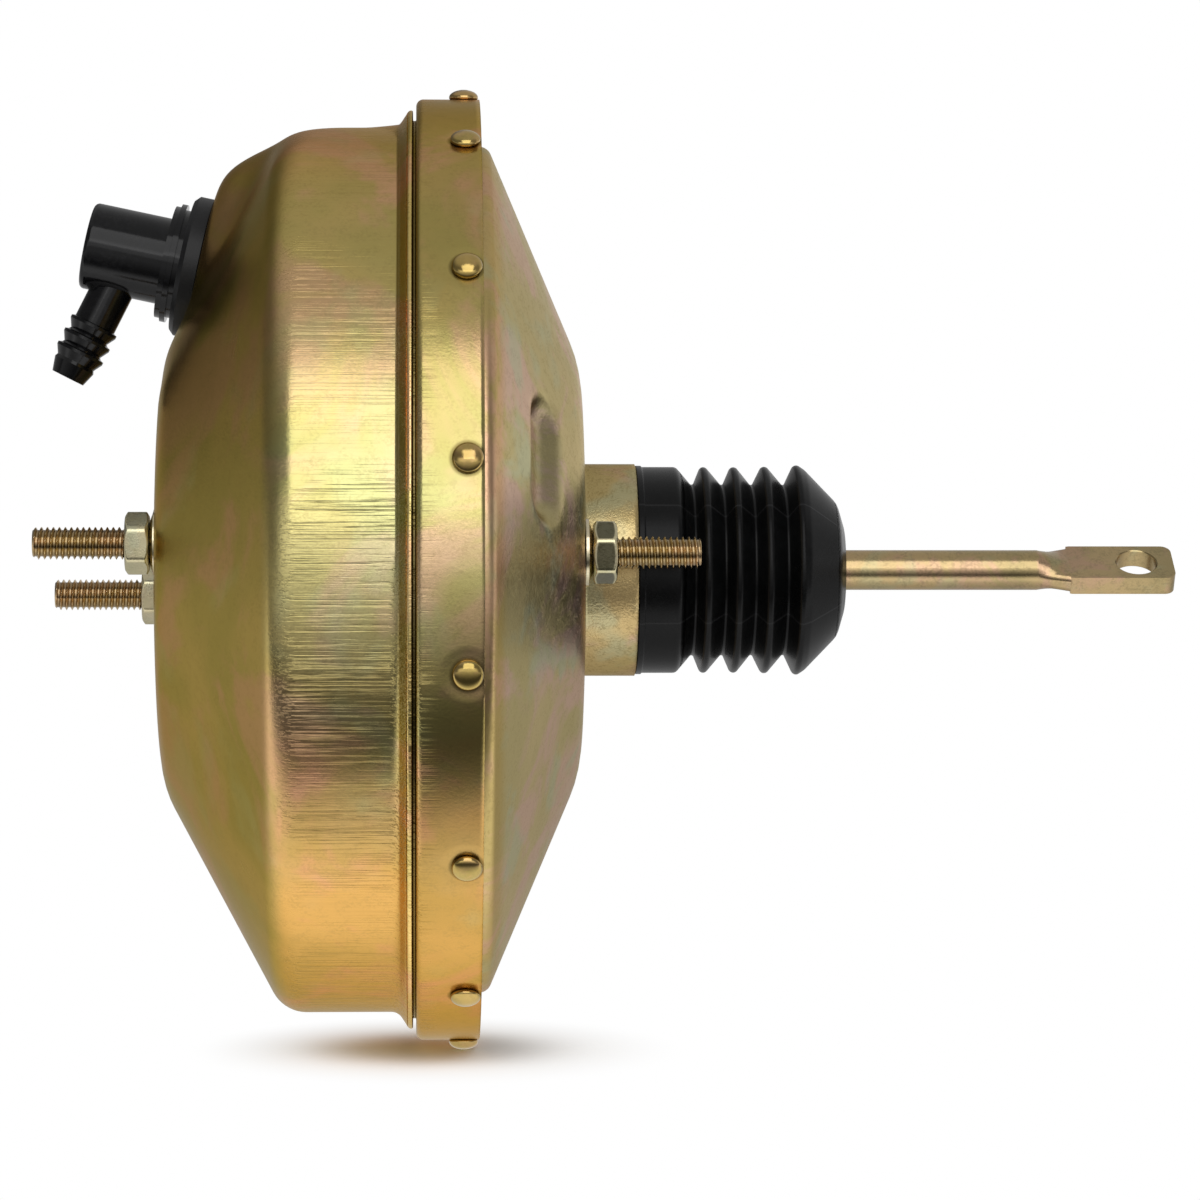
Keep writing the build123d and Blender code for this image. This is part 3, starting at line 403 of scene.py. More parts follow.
platedBase = {"patch": 40.0, "relief": 0.1, "speck": 0.3, "grain": 1100.0, "shares": (0.3, 0.3)}
platedLooks = {
    "rivet_zinc": {
        "rough": 0.17, "patch": 60.0, "relief": 0.05, "speck": 0.1, "grain": 900.0, "shares": (0.5, 0.2),
        "tones": ((0.5, 0.35, 0.12), (0.4, 0.29, 0.09), (0.55, 0.34, 0.16), (0.4, 0.34, 0.13)),
    },
    "stud_zinc": {
        "rough": 0.19, "relief": 0.03, "speck": 0.1, "grain": 1400.0, "shares": (0.5, 0.3),
        "tones": ((0.64, 0.49, 0.26), (0.54, 0.42, 0.22), (0.66, 0.45, 0.28), (0.54, 0.48, 0.27)),
        "mark": "root", "markFade": (0.3, 0.9), "markAmount": 0.55, "markShade": (0.12, 0.07, 0.03),
    },
    "nut_zinc": {
        "rough": 0.26, "patch": 50.0, "relief": 0.2, "speck": 1.0, "grain": 1800.0, "shares": (0.2, 0.4),
        "tones": ((0.64, 0.57, 0.36), (0.52, 0.48, 0.29), (0.66, 0.52, 0.4), (0.56, 0.58, 0.42)),
        "mark": "rim", "markFade": (0.62, 0.15), "markAmount": 0.9, "markShade": (0.09, 0.085, 0.05),
    },
    "washer_zinc": {
        "rough": 0.2, "patch": 50.0, "speck": 0.2, "grain": 1200.0, "shares": (0.4, 0.4),
        "tones": ((0.7, 0.62, 0.42), (0.6, 0.54, 0.36), (0.72, 0.56, 0.44), (0.58, 0.6, 0.44)),
    },
    "rod_zinc": {
        "rough": 0.22, "patch": 34.0, "speck": 0.25, "shares": (0.65, 0.45),
        "tones": ((0.46, 0.34, 0.17), (0.37, 0.29, 0.14), (0.5, 0.31, 0.21), (0.39, 0.37, 0.21)),
    },
    "plain_steel": {
        "rough": 0.35, "relief": 0.15,
        "tones": ((0.52, 0.52, 0.5), (0.44, 0.44, 0.43), (0.5, 0.48, 0.46), (0.48, 0.5, 0.5)),
    },
    "spring_steel": {
        "rough": 0.3,
        "tones": ((0.34, 0.34, 0.35), (0.25, 0.25, 0.27), (0.33, 0.31, 0.3), (0.3, 0.32, 0.34)),
    },
}
speckShade = (0.1, 0.09, 0.05)


def platedFinish(name, look):
    made, shader, coords = newMaterial(name, {"Metallic": 1.0})
    film, grain = filmOf(coords, look), grainOf(coords, look)
    colour, specks = film["Color"], grain["Specks"]
    # painted shade from a mesh attribute: darker in a thread's roots, and a painted dark reflection in the middle of
    # each nut facet; specks grow there too
    if "mark" in look:  # the mesh says where a thread's root or the middle of a facet lies
        mark = wired(made.node_tree, "ShaderNodeAttribute", {}, "Fac", attribute_name=look["mark"])
        shadeAndSpecks = mapRange(mark, *look["markFade"]) * look["markAmount"]
        colour = mixColour(shadeAndSpecks, colour, look["markShade"])
        specks = specks * (shadeAndSpecks + 0.15)
    feed(shader.inputs["Base Color"], mixColour(specks, colour, speckShade))
    feed(shader.inputs["Roughness"], film["Patch"] * 0.16 + (look["rough"] - 0.08))
    bump(shader, grain["Height"], look["relief"], 0.0002)
    return made


mouldedBase = {"gloss": 0.5, "patch": 40.0, "grain": 1200.0, "relief": 0.08, "spread": 0.1, "speck": 0.3}
mouldedLooks = {
    "boot_rubber": {
        "rough": 0.29, "gloss": 0.15, "patch": 45.0, "grain": 1500.0, "relief": 0.1, "spread": 0.16, "speck": 0.25,
        "colour": (0.0022, 0.0023, 0.0024), "worn": (0.0040, 0.0042, 0.0044), "dust": (0.02, 0.02, 0.021),
    },
    "grommet_rubber": {
        "rough": 0.4, "gloss": 0.26, "patch": 50.0, "grain": 1800.0, "relief": 0.12, "spread": 0.15, "speck": 0.25,
        "colour": (0.004, 0.004, 0.0043), "worn": (0.009, 0.009, 0.010), "dust": (0.03, 0.03, 0.032),
    },
    "seal_rubber": {
        "rough": 0.5, "gloss": 0.4, "patch": 50.0, "grain": 1800.0, "relief": 0.15, "spread": 0.12,
        "colour": (0.012, 0.012, 0.013), "worn": (0.020, 0.020, 0.021), "dust": (0.04, 0.04, 0.042),
    },
    "valve_black": {
        "rough": 0.13, "gloss": 0.26, "patch": 80.0, "grain": 700.0, "relief": 0.04, "spread": 0.08, "speck": 0.25,
        "colour": (0.0028, 0.0028, 0.0032), "worn": (0.0045, 0.0045, 0.005), "dust": (0.03, 0.03, 0.033),
    },
    "valve_plastic": {
        "rough": 0.4, "colour": (0.045, 0.045, 0.048), "worn": (0.06, 0.06, 0.063), "dust": (0.08, 0.08, 0.083),
    },
    "nylon": {"rough": 0.45, "colour": (0.72, 0.7, 0.62), "worn": (0.64, 0.61, 0.53), "dust": (0.55, 0.52, 0.45)},
    "filter_felt": {
        "rough": 0.85, "gloss": 0.2, "patch": 90.0, "grain": 700.0, "relief": 0.8, "speck": 0.6,
        "colour": (0.3, 0.29, 0.27), "worn": (0.4, 0.39, 0.36), "dust": (0.2, 0.19, 0.17),
    },
}


def mouldedFinish(name, look):
    made, shader, coords = newMaterial(name, {"Specular IOR Level": look["gloss"]})
    haze, grain = noise(coords, look["patch"], 4.0, 0.6), grainOf(coords, look)
    colour = mixColour(mapRange(haze, 0.4, 0.7), look["colour"], look["worn"])
    colour = mixColour(grain["Specks"] * 0.5, colour, look["dust"])
    height = grain["Height"]
    if name == "boot_rubber":
        seam = mouldSeam(coords)
        colour = mixColour(seam * 0.7, colour, look["dust"])
        height = height + seam * 3.0
    feed(shader.inputs["Base Color"], colour)
    feed(shader.inputs["Roughness"], haze * look["spread"] + (look["rough"] - look["spread"] / 2))
    bump(shader, height, look["relief"], 0.0002)
    return made


seamLook = {"angles": (37.7, -31.0), "width": 0.00022}


# the thin proud lines where the boot's mould parts, each on both sides of the boot
def mouldSeam(coords):
    marks = useGroup(turnedMarks, coords)
    lines = []
    for angle in seamLook["angles"]:
        arc = maths("ABSOLUTE", fromNearest(marks["Angle"], math.radians(angle), math.pi) * marks["Radius"])
        lines.append(mapRange(arc, seamLook["width"] * 2, seamLook["width"] * 0.5))
    return maths("MAXIMUM", *lines)


def makeFinishes():
    made = {"front": frontShellFinish(frontZinc), "shell_zinc": rearShellFinish(rearZinc)}
    for slot, look in platedLooks.items():
        made[slot] = platedFinish(slot, {**platedBase, **look})
    for slot, look in mouldedLooks.items():
        made[slot] = mouldedFinish(slot, {**mouldedBase, **look})
    return made


def dressNodes():
    for part in frame["record"]["subparts"]:
        carried = nodes[part["node"]]
        carried.data.materials.clear()
        carried.data.materials.append(finishes[part["material_slot"]])


def finished(name, mesh, slotName, body, finish=None):
    piece = bpy.data.objects.new(name, mesh)
    mesh.materials.clear()
    mesh.materials.append(finishes[finish or slotName])
    bpy.context.collection.objects.link(piece)
    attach(piece, body)
    return piece


# an outline of (x, radius) corners, each inner corner rounded, with no run longer than step
def roundedOutline(corners, rounds, step, turn=7.0):
    corners = [np.array(c, float) for c in corners]
    stops = [corners[0]]
    for before, corner, after, size in zip(corners, corners[1:], corners[2:], rounds):
        back = (before - corner) / np.linalg.norm(before - corner)
        ahead = (after - corner) / np.linalg.norm(after - corner)
        opening = math.acos(np.clip(back @ ahead, -1, 1))
        if size <= 0:
            stops.append(corner)
            continue
        reach = size / math.tan(opening / 2)
        centre = corner + (back + ahead) / np.linalg.norm(back + ahead) * size / math.sin(opening / 2)
        first, last = corner + back * reach - centre, corner + ahead * reach - centre
        sweep = math.pi - opening
        count = max(2, math.ceil(sweep / math.radians(turn)))
        for i in range(count + 1):
            share = i / count
            mixed = (math.sin((1 - share) * sweep) * first + math.sin(share * sweep) * last) / math.sin(sweep)
            stops.append(centre + mixed)
    stops.append(corners[-1])
    points = [stops[0]]
    for a, b in zip(stops, stops[1:]):
        count = max(1, math.ceil(np.linalg.norm(b - a) / step))
        points += [a + (b - a) * (i + 1) / count for i in range(count)]
    return np.array(points)


# columns round the axis, close together near the angles in fineNear
def columnAngles(spec):
    angles, angle = [], 0.0
    while angle < 360.0:
        angles.append(angle)
        away = min(abs((angle - near + 180) % 360 - 180) for near in spec["fineNear"])
        angle += spec["fineStep"] if away < spec["fineReach"] else spec["coarseStep"]
    return np.radians(angles)


def evenAngles(count):
    return np.linspace(0, 2 * math.pi, count, endpoint=False)


# points of an outline turned about the X axis; the angle runs from the -Y side up to +Z
def turnedPoints(outline, angles):
    x = np.repeat(outline[:, :1], len(angles), 1)
    radius = outline[:, 1:]
    return np.stack([x, -radius * np.cos(angles), radius * np.sin(angles)], -1)


def smooth(mesh):
    mesh.polygons.foreach_set("use_smooth", [True] * len(mesh.polygons))
    return mesh


def turnedMesh(name, points, loop=False, caps=False):
    rows, columns = points.shape[:2]
    faces = []
    for i in range(rows if loop else rows - 1):
        here, there = i * columns, (i + 1) % rows * columns
        for j in range(columns):
            beside = (j + 1) % columns
            faces.append((here + j, there + j, there + beside, here + beside))
    if caps:
        faces += [tuple(range(columns)), tuple(reversed(range((rows - 1) * columns, rows * columns)))]
    mesh = bpy.data.meshes.new(name)
    mesh.from_pydata((points.reshape(-1, 3) * mm).tolist(), [], faces)
    return smooth(mesh)


def written(shape, mesh):
    shape.to_mesh(mesh)
    shape.free()
    return smooth(mesh)


def recalculated(mesh):
    shape = bmesh.new()
    shape.from_mesh(mesh)
    bmesh.ops.remove_doubles(shape, verts=shape.verts, dist=1e-7)
    bmesh.ops.recalc_face_normals(shape, faces=shape.faces)
    return written(shape, mesh)


# the mesh of an object with its modifiers applied, as a plain mesh
def baked(piece):
    graph = bpy.context.evaluated_depsgraph_get()
    mesh = bpy.data.meshes.new_from_object(piece.evaluated_get(graph))
    bpy.data.objects.remove(piece)
    return mesh


def thickened(name, mesh, wall):
    holder = bpy.data.objects.new(name, mesh)
    bpy.context.collection.objects.link(holder)
    solid = holder.modifiers.new("wall", "SOLIDIFY")
    solid.thickness = wall * mm
    solid.offset = -1.0
    return baked(holder)


frontShell = {
    "wall": 1.8, "depth": 130.0, "seatLand": 0.4, "pilot": 19.0, "landRadius": 26.5,
    "flat": 68.0, "slope": 1.85, "faceRound": 30.0, "drum": 137.4, "drumRound": 11.5,
    "lipStart": -57.0, "lipFlare": 3.4, "lipHeight": 5.2, "lipFoot": 4.0, "lipRound": 1.2,
    "grooveDepth": 3.2, "grooveWidth": 1.0, "grooveRounds": (0.5, 0.3, 0.3),
    "skirt": 146.0, "skirtFront": -51.4, "skirtRear": -32.0, "skirtRound": 2.2,
    "rowStep": 1.7, "fineStep": 0.75, "coarseStep": 2.0, "fineNear": (90.0,), "fineReach": 27.0,
}
valvePad = {
    "lean": 11.8, "x": -118.3, "z": 93.7, "centreUp": 4.0, "radius": 29.9, "bossDraft": 28.0, "recessDraft": 35.0,
    "roofX": -110.6, "roofZ": 127.5, "roofSlope": 0.334, "soften": 40, "softReach": 22.0, "softFade": 10.0,
}


# where a hard-edged pad for the valve would put each point, and how much each point may be softened
def padded(points):
    lean = math.radians(valvePad["lean"])
    normal = np.array([-math.cos(lean), 0, math.sin(lean)])
    up = np.array([math.sin(lean), 0, math.cos(lean)])
    rel = points - np.array([valvePad["x"], 0, valvePad["z"]])
    along = rel @ up - valvePad["centreUp"]
    outside = np.hypot(rel[..., 1], along) - valvePad["radius"]
    height = rel @ normal
    away = np.maximum(outside, 0)
    boss = -away / math.tan(math.radians(valvePad["bossDraft"]))
    recess = away / math.tan(math.radians(valvePad["recessDraft"]))
    target = np.clip(height, boss, recess)
    topSide = (points[..., 2] > 0) & (points[..., 0] < frontShell["lipStart"])
    target = np.where(topSide, target, height)
    moved = points + (target - height)[..., None] * normal
    roof = valvePad["roofZ"] + valvePad["roofSlope"] * (moved[..., 0] - valvePad["roofX"])
    scale = np.where(topSide & (moved[..., 2] > roof), roof / np.maximum(moved[..., 2], 1), 1.0)
    radius = np.hypot(moved[..., 1], moved[..., 2]) * scale
    scale *= np.where(topSide, np.minimum(1, frontShell["drum"] / radius), 1.0)
    moved[..., 1:] *= scale[..., None]
    soft = np.clip(1 - (away - valvePad["softReach"]) / valvePad["softFade"], 0, 1) * topSide
    return moved, soft


# each round moves every point a share of the way to the middle of its four neighbours
def softened(points, soft, rounds, share=0.6):
    for _ in range(rounds):
        mean = points.copy()
        mean[1:-1] = (points[:-2] + points[2:] + np.roll(points, 1, 1)[1:-1] + np.roll(points, -1, 1)[1:-1]) / 4
        points = points + (mean - points) * soft[..., None] * share
    return points


# an outline turned round the axis, pressed into its shape, softened where the press allows and given its wall
def shellMesh(name, spec, corners, rounds, press, soften):
    outline = roundedOutline(corners, rounds, spec["rowStep"])
    points, soft = press(turnedPoints(outline, columnAngles(spec)))
    return thickened(name + "Solid", turnedMesh(name + "Skin", softened(points, soft, soften)), spec["wall"])


def makeFrontShell():
    s = frontShell
    face = -s["depth"] + s["seatLand"]
    drumStart = face + (s["drum"] - s["flat"]) / s["slope"]
    lip = s["drum"] + s["lipHeight"]
    grooveFront, groove = s["skirtFront"] - s["grooveWidth"], lip - s["grooveDepth"]
    corners = [
        (-s["depth"], s["pilot"]), (-s["depth"], s["landRadius"]), (face, s["landRadius"] + s["seatLand"]),
        (face, s["flat"]), (drumStart, s["drum"]), (s["lipStart"], s["drum"]), (s["lipStart"] + s["lipFlare"], lip),
        (grooveFront, lip), (grooveFront, groove), (s["skirtFront"], groove), (s["skirtFront"], s["skirt"]),
        (s["skirtRear"], s["skirt"]),
    ]
    rounds = [0, 0, s["faceRound"], s["drumRound"], s["lipFoot"], s["lipRound"], *s["grooveRounds"], s["skirtRound"]]
    mesh = shellMesh("frontShell", s, corners, rounds, padded, valvePad["soften"])
    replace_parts(finished("frontShell", mesh, "shell_zinc", "housing", "front"), "front_shell")


rearShell = {
    "wall": 1.8, "hub": 33.1, "hubEnd": 16.6, "hubRound": 1.2, "landRadius": 38.8, "seatLand": 0.4,
    "flat": 63.3, "slope": 2.35, "faceRound": 42.0, "rim": 131.6, "rimRound": 4.0,
    "clampRear": -39.9, "clampRadius": 144.0, "clampRound": 1.5,
    "rowStep": 1.5, "fineStep": 0.7, "coarseStep": 2.0, "fineNear": (20.0, 200.0), "fineReach": 19.0,
}
rearPocket = {
    "angles": (20.0, 200.0), "centre": 93.0, "length": 44.0, "width": 25.0, "depth": 5.0, "border": 7.0,
    "draft": 50.0, "reach": 30.0, "soften": 3, "softFade": 4.0, "shadeEdge": (3.0, 2.0),
}


# the two oblong pockets pressed into the rear cone, and how much each point may be softened
def pocketed(points):
    spec = rearPocket
    slope = math.atan(1 / rearShell["slope"])
    onCone = -rearShell["seatLand"] - (spec["centre"] - rearShell["flat"]) / rearShell["slope"]
    half = (spec["width"] - 2 * spec["border"]) / 2
    run = (spec["length"] - 2 * spec["border"]) / 2 - half
    soft = np.zeros(points.shape[:2])
    for angle in np.radians(spec["angles"]):
        outward = np.array([0, -math.cos(angle), math.sin(angle)])
        around = np.array([0, math.sin(angle), math.cos(angle)])
        normal = np.array([math.cos(slope), 0, 0]) + outward * math.sin(slope)
        down = np.array([-math.sin(slope), 0, 0]) + outward * math.cos(slope)
        rel = points - (np.array([onCone, 0, 0]) + outward * spec["centre"])
        across, along = rel @ down, rel @ around
        away = np.hypot(across, np.maximum(np.abs(along) - run, 0)) - half
        floor = -spec["depth"] + np.maximum(away, 0) / math.tan(math.radians(spec["draft"]))
        height = rel @ normal
        near = (away < spec["reach"]) & (points @ outward > 0)
        target = np.where(near, np.minimum(height, floor), height)
        points = points + (target - height)[..., None] * normal
        soft = np.maximum(soft, np.clip(1 - (away - spec["border"]) / spec["softFade"], 0, 1) * near)
    return points, soft


def makeRearShell():
    s = rearShell
    face = -s["seatLand"]
    rimX = face - (s["rim"] - s["flat"]) / s["slope"]
    corners = [
        (s["clampRear"], s["clampRadius"]), (s["clampRear"], s["rim"]), (rimX, s["rim"]), (face, s["flat"]),
        (face, s["landRadius"]), (0, s["landRadius"] - s["seatLand"]), (0, s["hub"]), (s["hubEnd"], s["hub"]),
    ]
    rounds = [s["clampRound"], s["rimRound"], s["faceRound"], 0, 0, s["hubRound"]]
    mesh = shellMesh("rearShell", s, corners, rounds, pocketed, rearPocket["soften"])
    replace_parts(finished("rearShell", mesh, "shell_zinc", "housing"), "rear_shell")


# a geometry group; build turns its inputs into a shape, which gets the Finish material
def newGeometryTree(name, inputs, build):
    tree = bpy.data.node_groups.new(name, "GeometryNodeTree")
    addInputs(tree, {"Geometry": ("Geometry", None), **inputs, "Finish": ("Material", None)})
    tree.interface.new_socket(name="Geometry", in_out="OUTPUT", socket_type="NodeSocketGeometry")
    given = outputsOf(addNode(tree, "NodeGroupInput"))
    real = wired(tree, "GeometryNodeRealizeInstances", {0: build(tree, given)})
    painted = wired(tree, "GeometryNodeSetMaterial", {"Geometry": real, "Material": given["Finish"]})
    feed(addNode(tree, "NodeGroupOutput").inputs["Geometry"], painted)
    return tree


def bakedTree(name, tree, values):
    holder = bpy.data.objects.new(name, bpy.data.meshes.new(name))
    bpy.context.collection.objects.link(holder)
    modifier = holder.modifiers.new(name, "NODES")
    modifier.node_group = tree
    for item in tree.interface.items_tree:
        if item.in_out == "INPUT" and item.name in values:
            modifier[item.identifier] = values[item.name]
    holder.update_tag()
    bpy.context.view_layer.update()
    return baked(holder)


rimRivet = {
    "count": 15, "first": 12.0, "x": -36.8, "seat": 146.0, "head": 4.5, "height": 3.0, "edge": 0.3, "edgeShare": 0.2,
    "flat": 1.4, "flatShare": 0.6, "domeEnd": 72.0, "domeRows": 9, "shank": 3.0, "reach": 9.0, "columns": 28,
    "axisHole": 0.001,
}


def rivetMesh():
    r = rimRivet
    low, high = r["height"] * r["edgeShare"], r["height"] * (1 - r["edgeShare"])
    turns = np.linspace(0, math.radians(r["domeEnd"]), r["domeRows"])[1:]
    outline = [
        (r["axisHole"], -r["reach"]), (r["shank"], -r["reach"]), (r["shank"], 0), (r["head"] - r["edge"], 0),
        (r["head"], r["edge"]), *[(r["head"] * math.cos(a), low + high * math.sin(a)) for a in turns],
        (r["flat"] * r["flatShare"], r["height"]), (r["axisHole"], r["height"]),
    ]
    angles = evenAngles(r["columns"])
    points = np.array([[(rad * math.cos(a), rad * math.sin(a), z) for a in angles] for rad, z in outline])
    return recalculated(turnedMesh("rivetHead", points, caps=True))


def rivetRing(tree, given):
    angle = wired(tree, "GeometryNodeInputIndex", {}) / given["Count"] * (2 * math.pi) + given["First Angle"]
    y, z = maths("COSINE", angle) * -1.0, maths("SINE", angle)
    points = wired(tree, "GeometryNodePoints", {"Count": given["Count"]})
    place = combined(given["Along"], y * given["Radius"], z * given["Radius"])
    points = wired(tree, "GeometryNodeSetPosition", {"Geometry": points, "Position": place})
    outward = wired(tree, "FunctionNodeAlignRotationToVector", {"Vector": combined(0.0, y, z)}, axis="Z")
    head = wired(tree, "GeometryNodeObjectInfo", {"Object": given["Rivet"]}, "Geometry")
    setting = {"Points": points, "Instance": head, "Rotation": outward}
    return wired(tree, "GeometryNodeInstanceOnPoints", setting)


def makeRimRivets():
    tree = newGeometryTree("rivetRing", {
        "Count": ("Int", 12), "First Angle": ("Float", 0.0), "Radius": ("Float", 0.1), "Along": ("Float", 0.0),
        "Rivet": ("Object", None),
    }, rivetRing)
    master = bpy.data.objects.new("rivetMaster", rivetMesh())
    bpy.context.collection.objects.link(master)
    mesh = bakedTree("rimRivetRing", tree, {
        "Count": rimRivet["count"], "First Angle": math.radians(rimRivet["first"]), "Radius": rimRivet["seat"] * mm,
        "Along": rimRivet["x"] * mm, "Rivet": master, "Finish": finishes["rivet_zinc"],
    })
    bpy.data.objects.remove(master)
    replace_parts(finished("rimRivets", mesh, "rivet_zinc", "housing"), "rim_rivets")


# two copies of a mesh on opposite sides of a bolt circle, as one piece in place of the node
def makePair(node, spec, single, kind, slotName, sharp, x=0):
    shape = bmesh.new()
    for turn in (0, 180):
        angle = math.radians(spec["roll"] + turn)
        copy = single.copy()
        place = Vector((0, -math.cos(angle), math.sin(angle))) * spec["circle"] / 2 * mm
        copy.transform(Matrix.Translation(place + Vector((x, 0, 0))))
        shape.from_mesh(copy)
    bmesh.ops.recalc_face_normals(shape, faces=shape.faces)
    mesh = written(shape, bpy.data.meshes.new(node + "Pair"))
    mesh.set_sharp_from_angle(angle=math.radians(sharp))
    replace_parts(finished(node.split("_")[0] + kind, mesh, slotName, "housing"), node)


stud = {
    "thread": 4.95, "pitch": 1.8, "depth": 0.95, "chamfer": 1.0, "shoulder": 5.0, "head": 7.0, "headHeight": 3.5,
    "rootShare": 0.36, "flankShare": 0.58, "rootSoft": 0.2, "crestSoft": 0.15, "columns": 40, "rowsPerTurn": 14,
    "coreColumns": 32, "axisHole": 0.01, "weld": 0.000002, "sharp": 50.0,
}
studSets = {
    "master_cylinder_studs": {
        "circle": 85.7, "roll": 10.4, "outward": -1, "headSeat": -124.7, "threadStart": -136.0, "tip": -167.0,
    },
    "firewall_studs": {
        "circle": 100.0, "roll": 5.6, "outward": 1, "headSeat": -4.8, "threadStart": 6.0, "tip": 34.5,
    },
}


# a grid wrapped round the axis with its radius on a helix; "root" is 1 at the bottom of the thread, where the stud
# finish paints shade
def rolledThread(tree, given):
    size = {"Size X": 1.0, "Size Y": 1.0, "Vertices X": given["Rows"], "Vertices Y": given["Columns"]}
    grid = wired(tree, "GeometryNodeMeshGrid", size, "Mesh")
    row, column, _ = separated(wired(tree, "GeometryNodeInputPosition", {}))
    along, turn = (row + 0.5) * given["Length"], column + 0.5
    angle = turn * (2 * math.pi)
    wave = maths("PINGPONG", (along / given["Pitch"] - turn) * 2.0, 1.0)
    flank = (wave - stud["rootShare"]) / stud["flankShare"]
    crest = maths("SMOOTH_MAX", flank, 0.0, stud["rootSoft"])
    crest = maths("SMOOTH_MIN", crest, 1.0, stud["crestSoft"])
    radius = (crest - 1.0) * given["Depth"] + given["Radius"]
    tipRadius = given["Radius"] + (given["Length"] - along) - given["Chamfer"]
    radius = maths("MINIMUM", radius, tipRadius)
    place = combined(along, maths("COSINE", angle) * radius, maths("SINE", angle) * radius)
    marked = wired(tree, "GeometryNodeStoreNamedAttribute", {
        "Geometry": grid, "Name": "root", "Value": maths("SUBTRACT", 1.0, crest),
    }, data_type="FLOAT", domain="POINT")
    wrapped = wired(tree, "GeometryNodeSetPosition", {"Geometry": marked, "Position": place})
    return wired(tree, "GeometryNodeMergeByDistance", {"Geometry": wrapped, "Distance": stud["weld"]})


threadTree = newGeometryTree("rolledThread", {
    "Length": ("Float", 0.03), "Radius": ("Float", 0.005), "Pitch": ("Float", 0.0018), "Depth": ("Float", 0.0006),
    "Chamfer": ("Float", 0.001), "Columns": ("Int", 40), "Rows": ("Int", 200),
}, rolledThread)


def studMesh(name, spec):
    start, seat, outward = spec["threadStart"], spec["headSeat"], spec["outward"]
    length, shank = abs(spec["tip"] - start), abs(start - seat)
    mesh = bakedTree(name, threadTree, {
        "Length": length * mm, "Radius": stud["thread"] * mm, "Pitch": stud["pitch"] * mm,
        "Depth": stud["depth"] * mm, "Chamfer": stud["chamfer"] * mm, "Columns": stud["columns"] + 1,
        "Rows": round(length / stud["pitch"] * stud["rowsPerTurn"]) + 1, "Finish": finishes["stud_zinc"],
    })
    shape = bmesh.new()
    shape.from_mesh(mesh)
    bmesh.ops.holes_fill(shape, edges=[e for e in shape.edges if e.is_boundary], sides=0)
    shape.transform(Matrix.Translation((start * mm, 0, 0)) @ Matrix.Diagonal((outward, 1, 1, 1)))
    back, wide = -stud["headHeight"], stud["head"]
    corners = [(back, stud["axisHole"]), (back, wide), (0, wide), (0, stud["shoulder"])]
    corners += [(shank, stud["shoulder"]), (shank, stud["axisHole"])]
    outline = np.array([(seat + outward * x, r) for x, r in corners])
    shape.from_mesh(turnedMesh("studCore", turnedPoints(outline, evenAngles(stud["coreColumns"])), caps=True))
    bmesh.ops.recalc_face_normals(shape, faces=shape.faces)
    return written(shape, mesh)


def makeStuds():
    for node, spec in studSets.items():
        makePair(node, spec, studMesh(node + "Single", spec), "Studs", "stud_zinc", stud["sharp"])


nut = {
    "flats": 17.0, "height": 7.2, "bore": 5.05, "facets": 6, "columns": 120, "chamferAngle": 30.0, "faceLand": 0.25,
    "cornerRound": 0.9, "cornerDrop": 0.35, "faceRound": 0.45, "faceDrop": 0.11, "rimWidth": 1.1, "boreRim": 0.3,
    "endRows": (0.0, 0.15, 0.3, 0.45, 0.6, 0.8, 1.0, 1.3, 1.7, 2.2), "sharp": 40.0,
}
# wear sets how darkly each nut's facet middles are painted, a painted dark reflection, and how speckled they are;
# the front nuts get less
nutSets = {
    "master_cylinder_nuts": {"circle": 85.7, "roll": 10.4, "facet": -4.0, "wear": 0.3},
    "firewall_nuts": {"circle": 100.0, "roll": 5.6, "facet": -7.5, "wear": 1.0},
}


# one hexagon nut on the axis: each row of its outline is a hexagon kept inside the chamfer cone
def nutMesh(name, spec):
    half, height = nut["flats"] / 2, nut["height"]
    slope = math.tan(math.radians(nut["chamferAngle"]))
    angles = evenAngles(nut["columns"])
    sector = 2 * math.pi / nut["facets"]
    away = np.abs((angles - math.radians(spec["facet"]) + sector / 2) % sector - sector / 2)
    toCorner = half * math.tan(sector / 2) - half * np.tan(away)
    hexagon = half / np.cos(away) - nut["cornerDrop"] * np.clip(1 - toCorner / nut["cornerRound"], 0, 1) ** 2
    bore, boreRim = np.full_like(angles, nut["bore"]), np.full_like(angles, nut["boreRim"])
    rows, rims = [[0.0, *bore]], [boreRim]
    for h in [*nut["endRows"], height / 2, *[height - h for h in reversed(nut["endRows"])]]:
        cone = half - nut["faceLand"] + min(h, height - h) / slope
        blend = np.clip(1 - np.abs(hexagon - cone) / nut["faceRound"], 0, 1)
        rows.append([h, *(np.minimum(hexagon, cone) - nut["faceDrop"] * blend ** 2)])
        # rim is 1 at a facet's border; where it falls, the nut finish paints a dark reflection and specks
        rim = np.clip(1 - np.minimum(toCorner, (cone - hexagon) * slope) / nut["rimWidth"], 0, 1)
        rims.append(1 - spec["wear"] * (1 - rim))
    points = turnedPoints(np.array([*rows, [height, *bore]]), angles)
    mesh = turnedMesh(name, points, loop=True)
    mesh.attributes.new("rim", "FLOAT", "POINT").data.foreach_set("value", np.ravel([*rims, boreRim]))
    return mesh


def makeNuts():
    for node, spec in nutSets.items():
        low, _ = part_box(node)
        makePair(node, spec, nutMesh(node + "Single", spec), "Nuts", "nut_zinc", nut["sharp"], low.x)


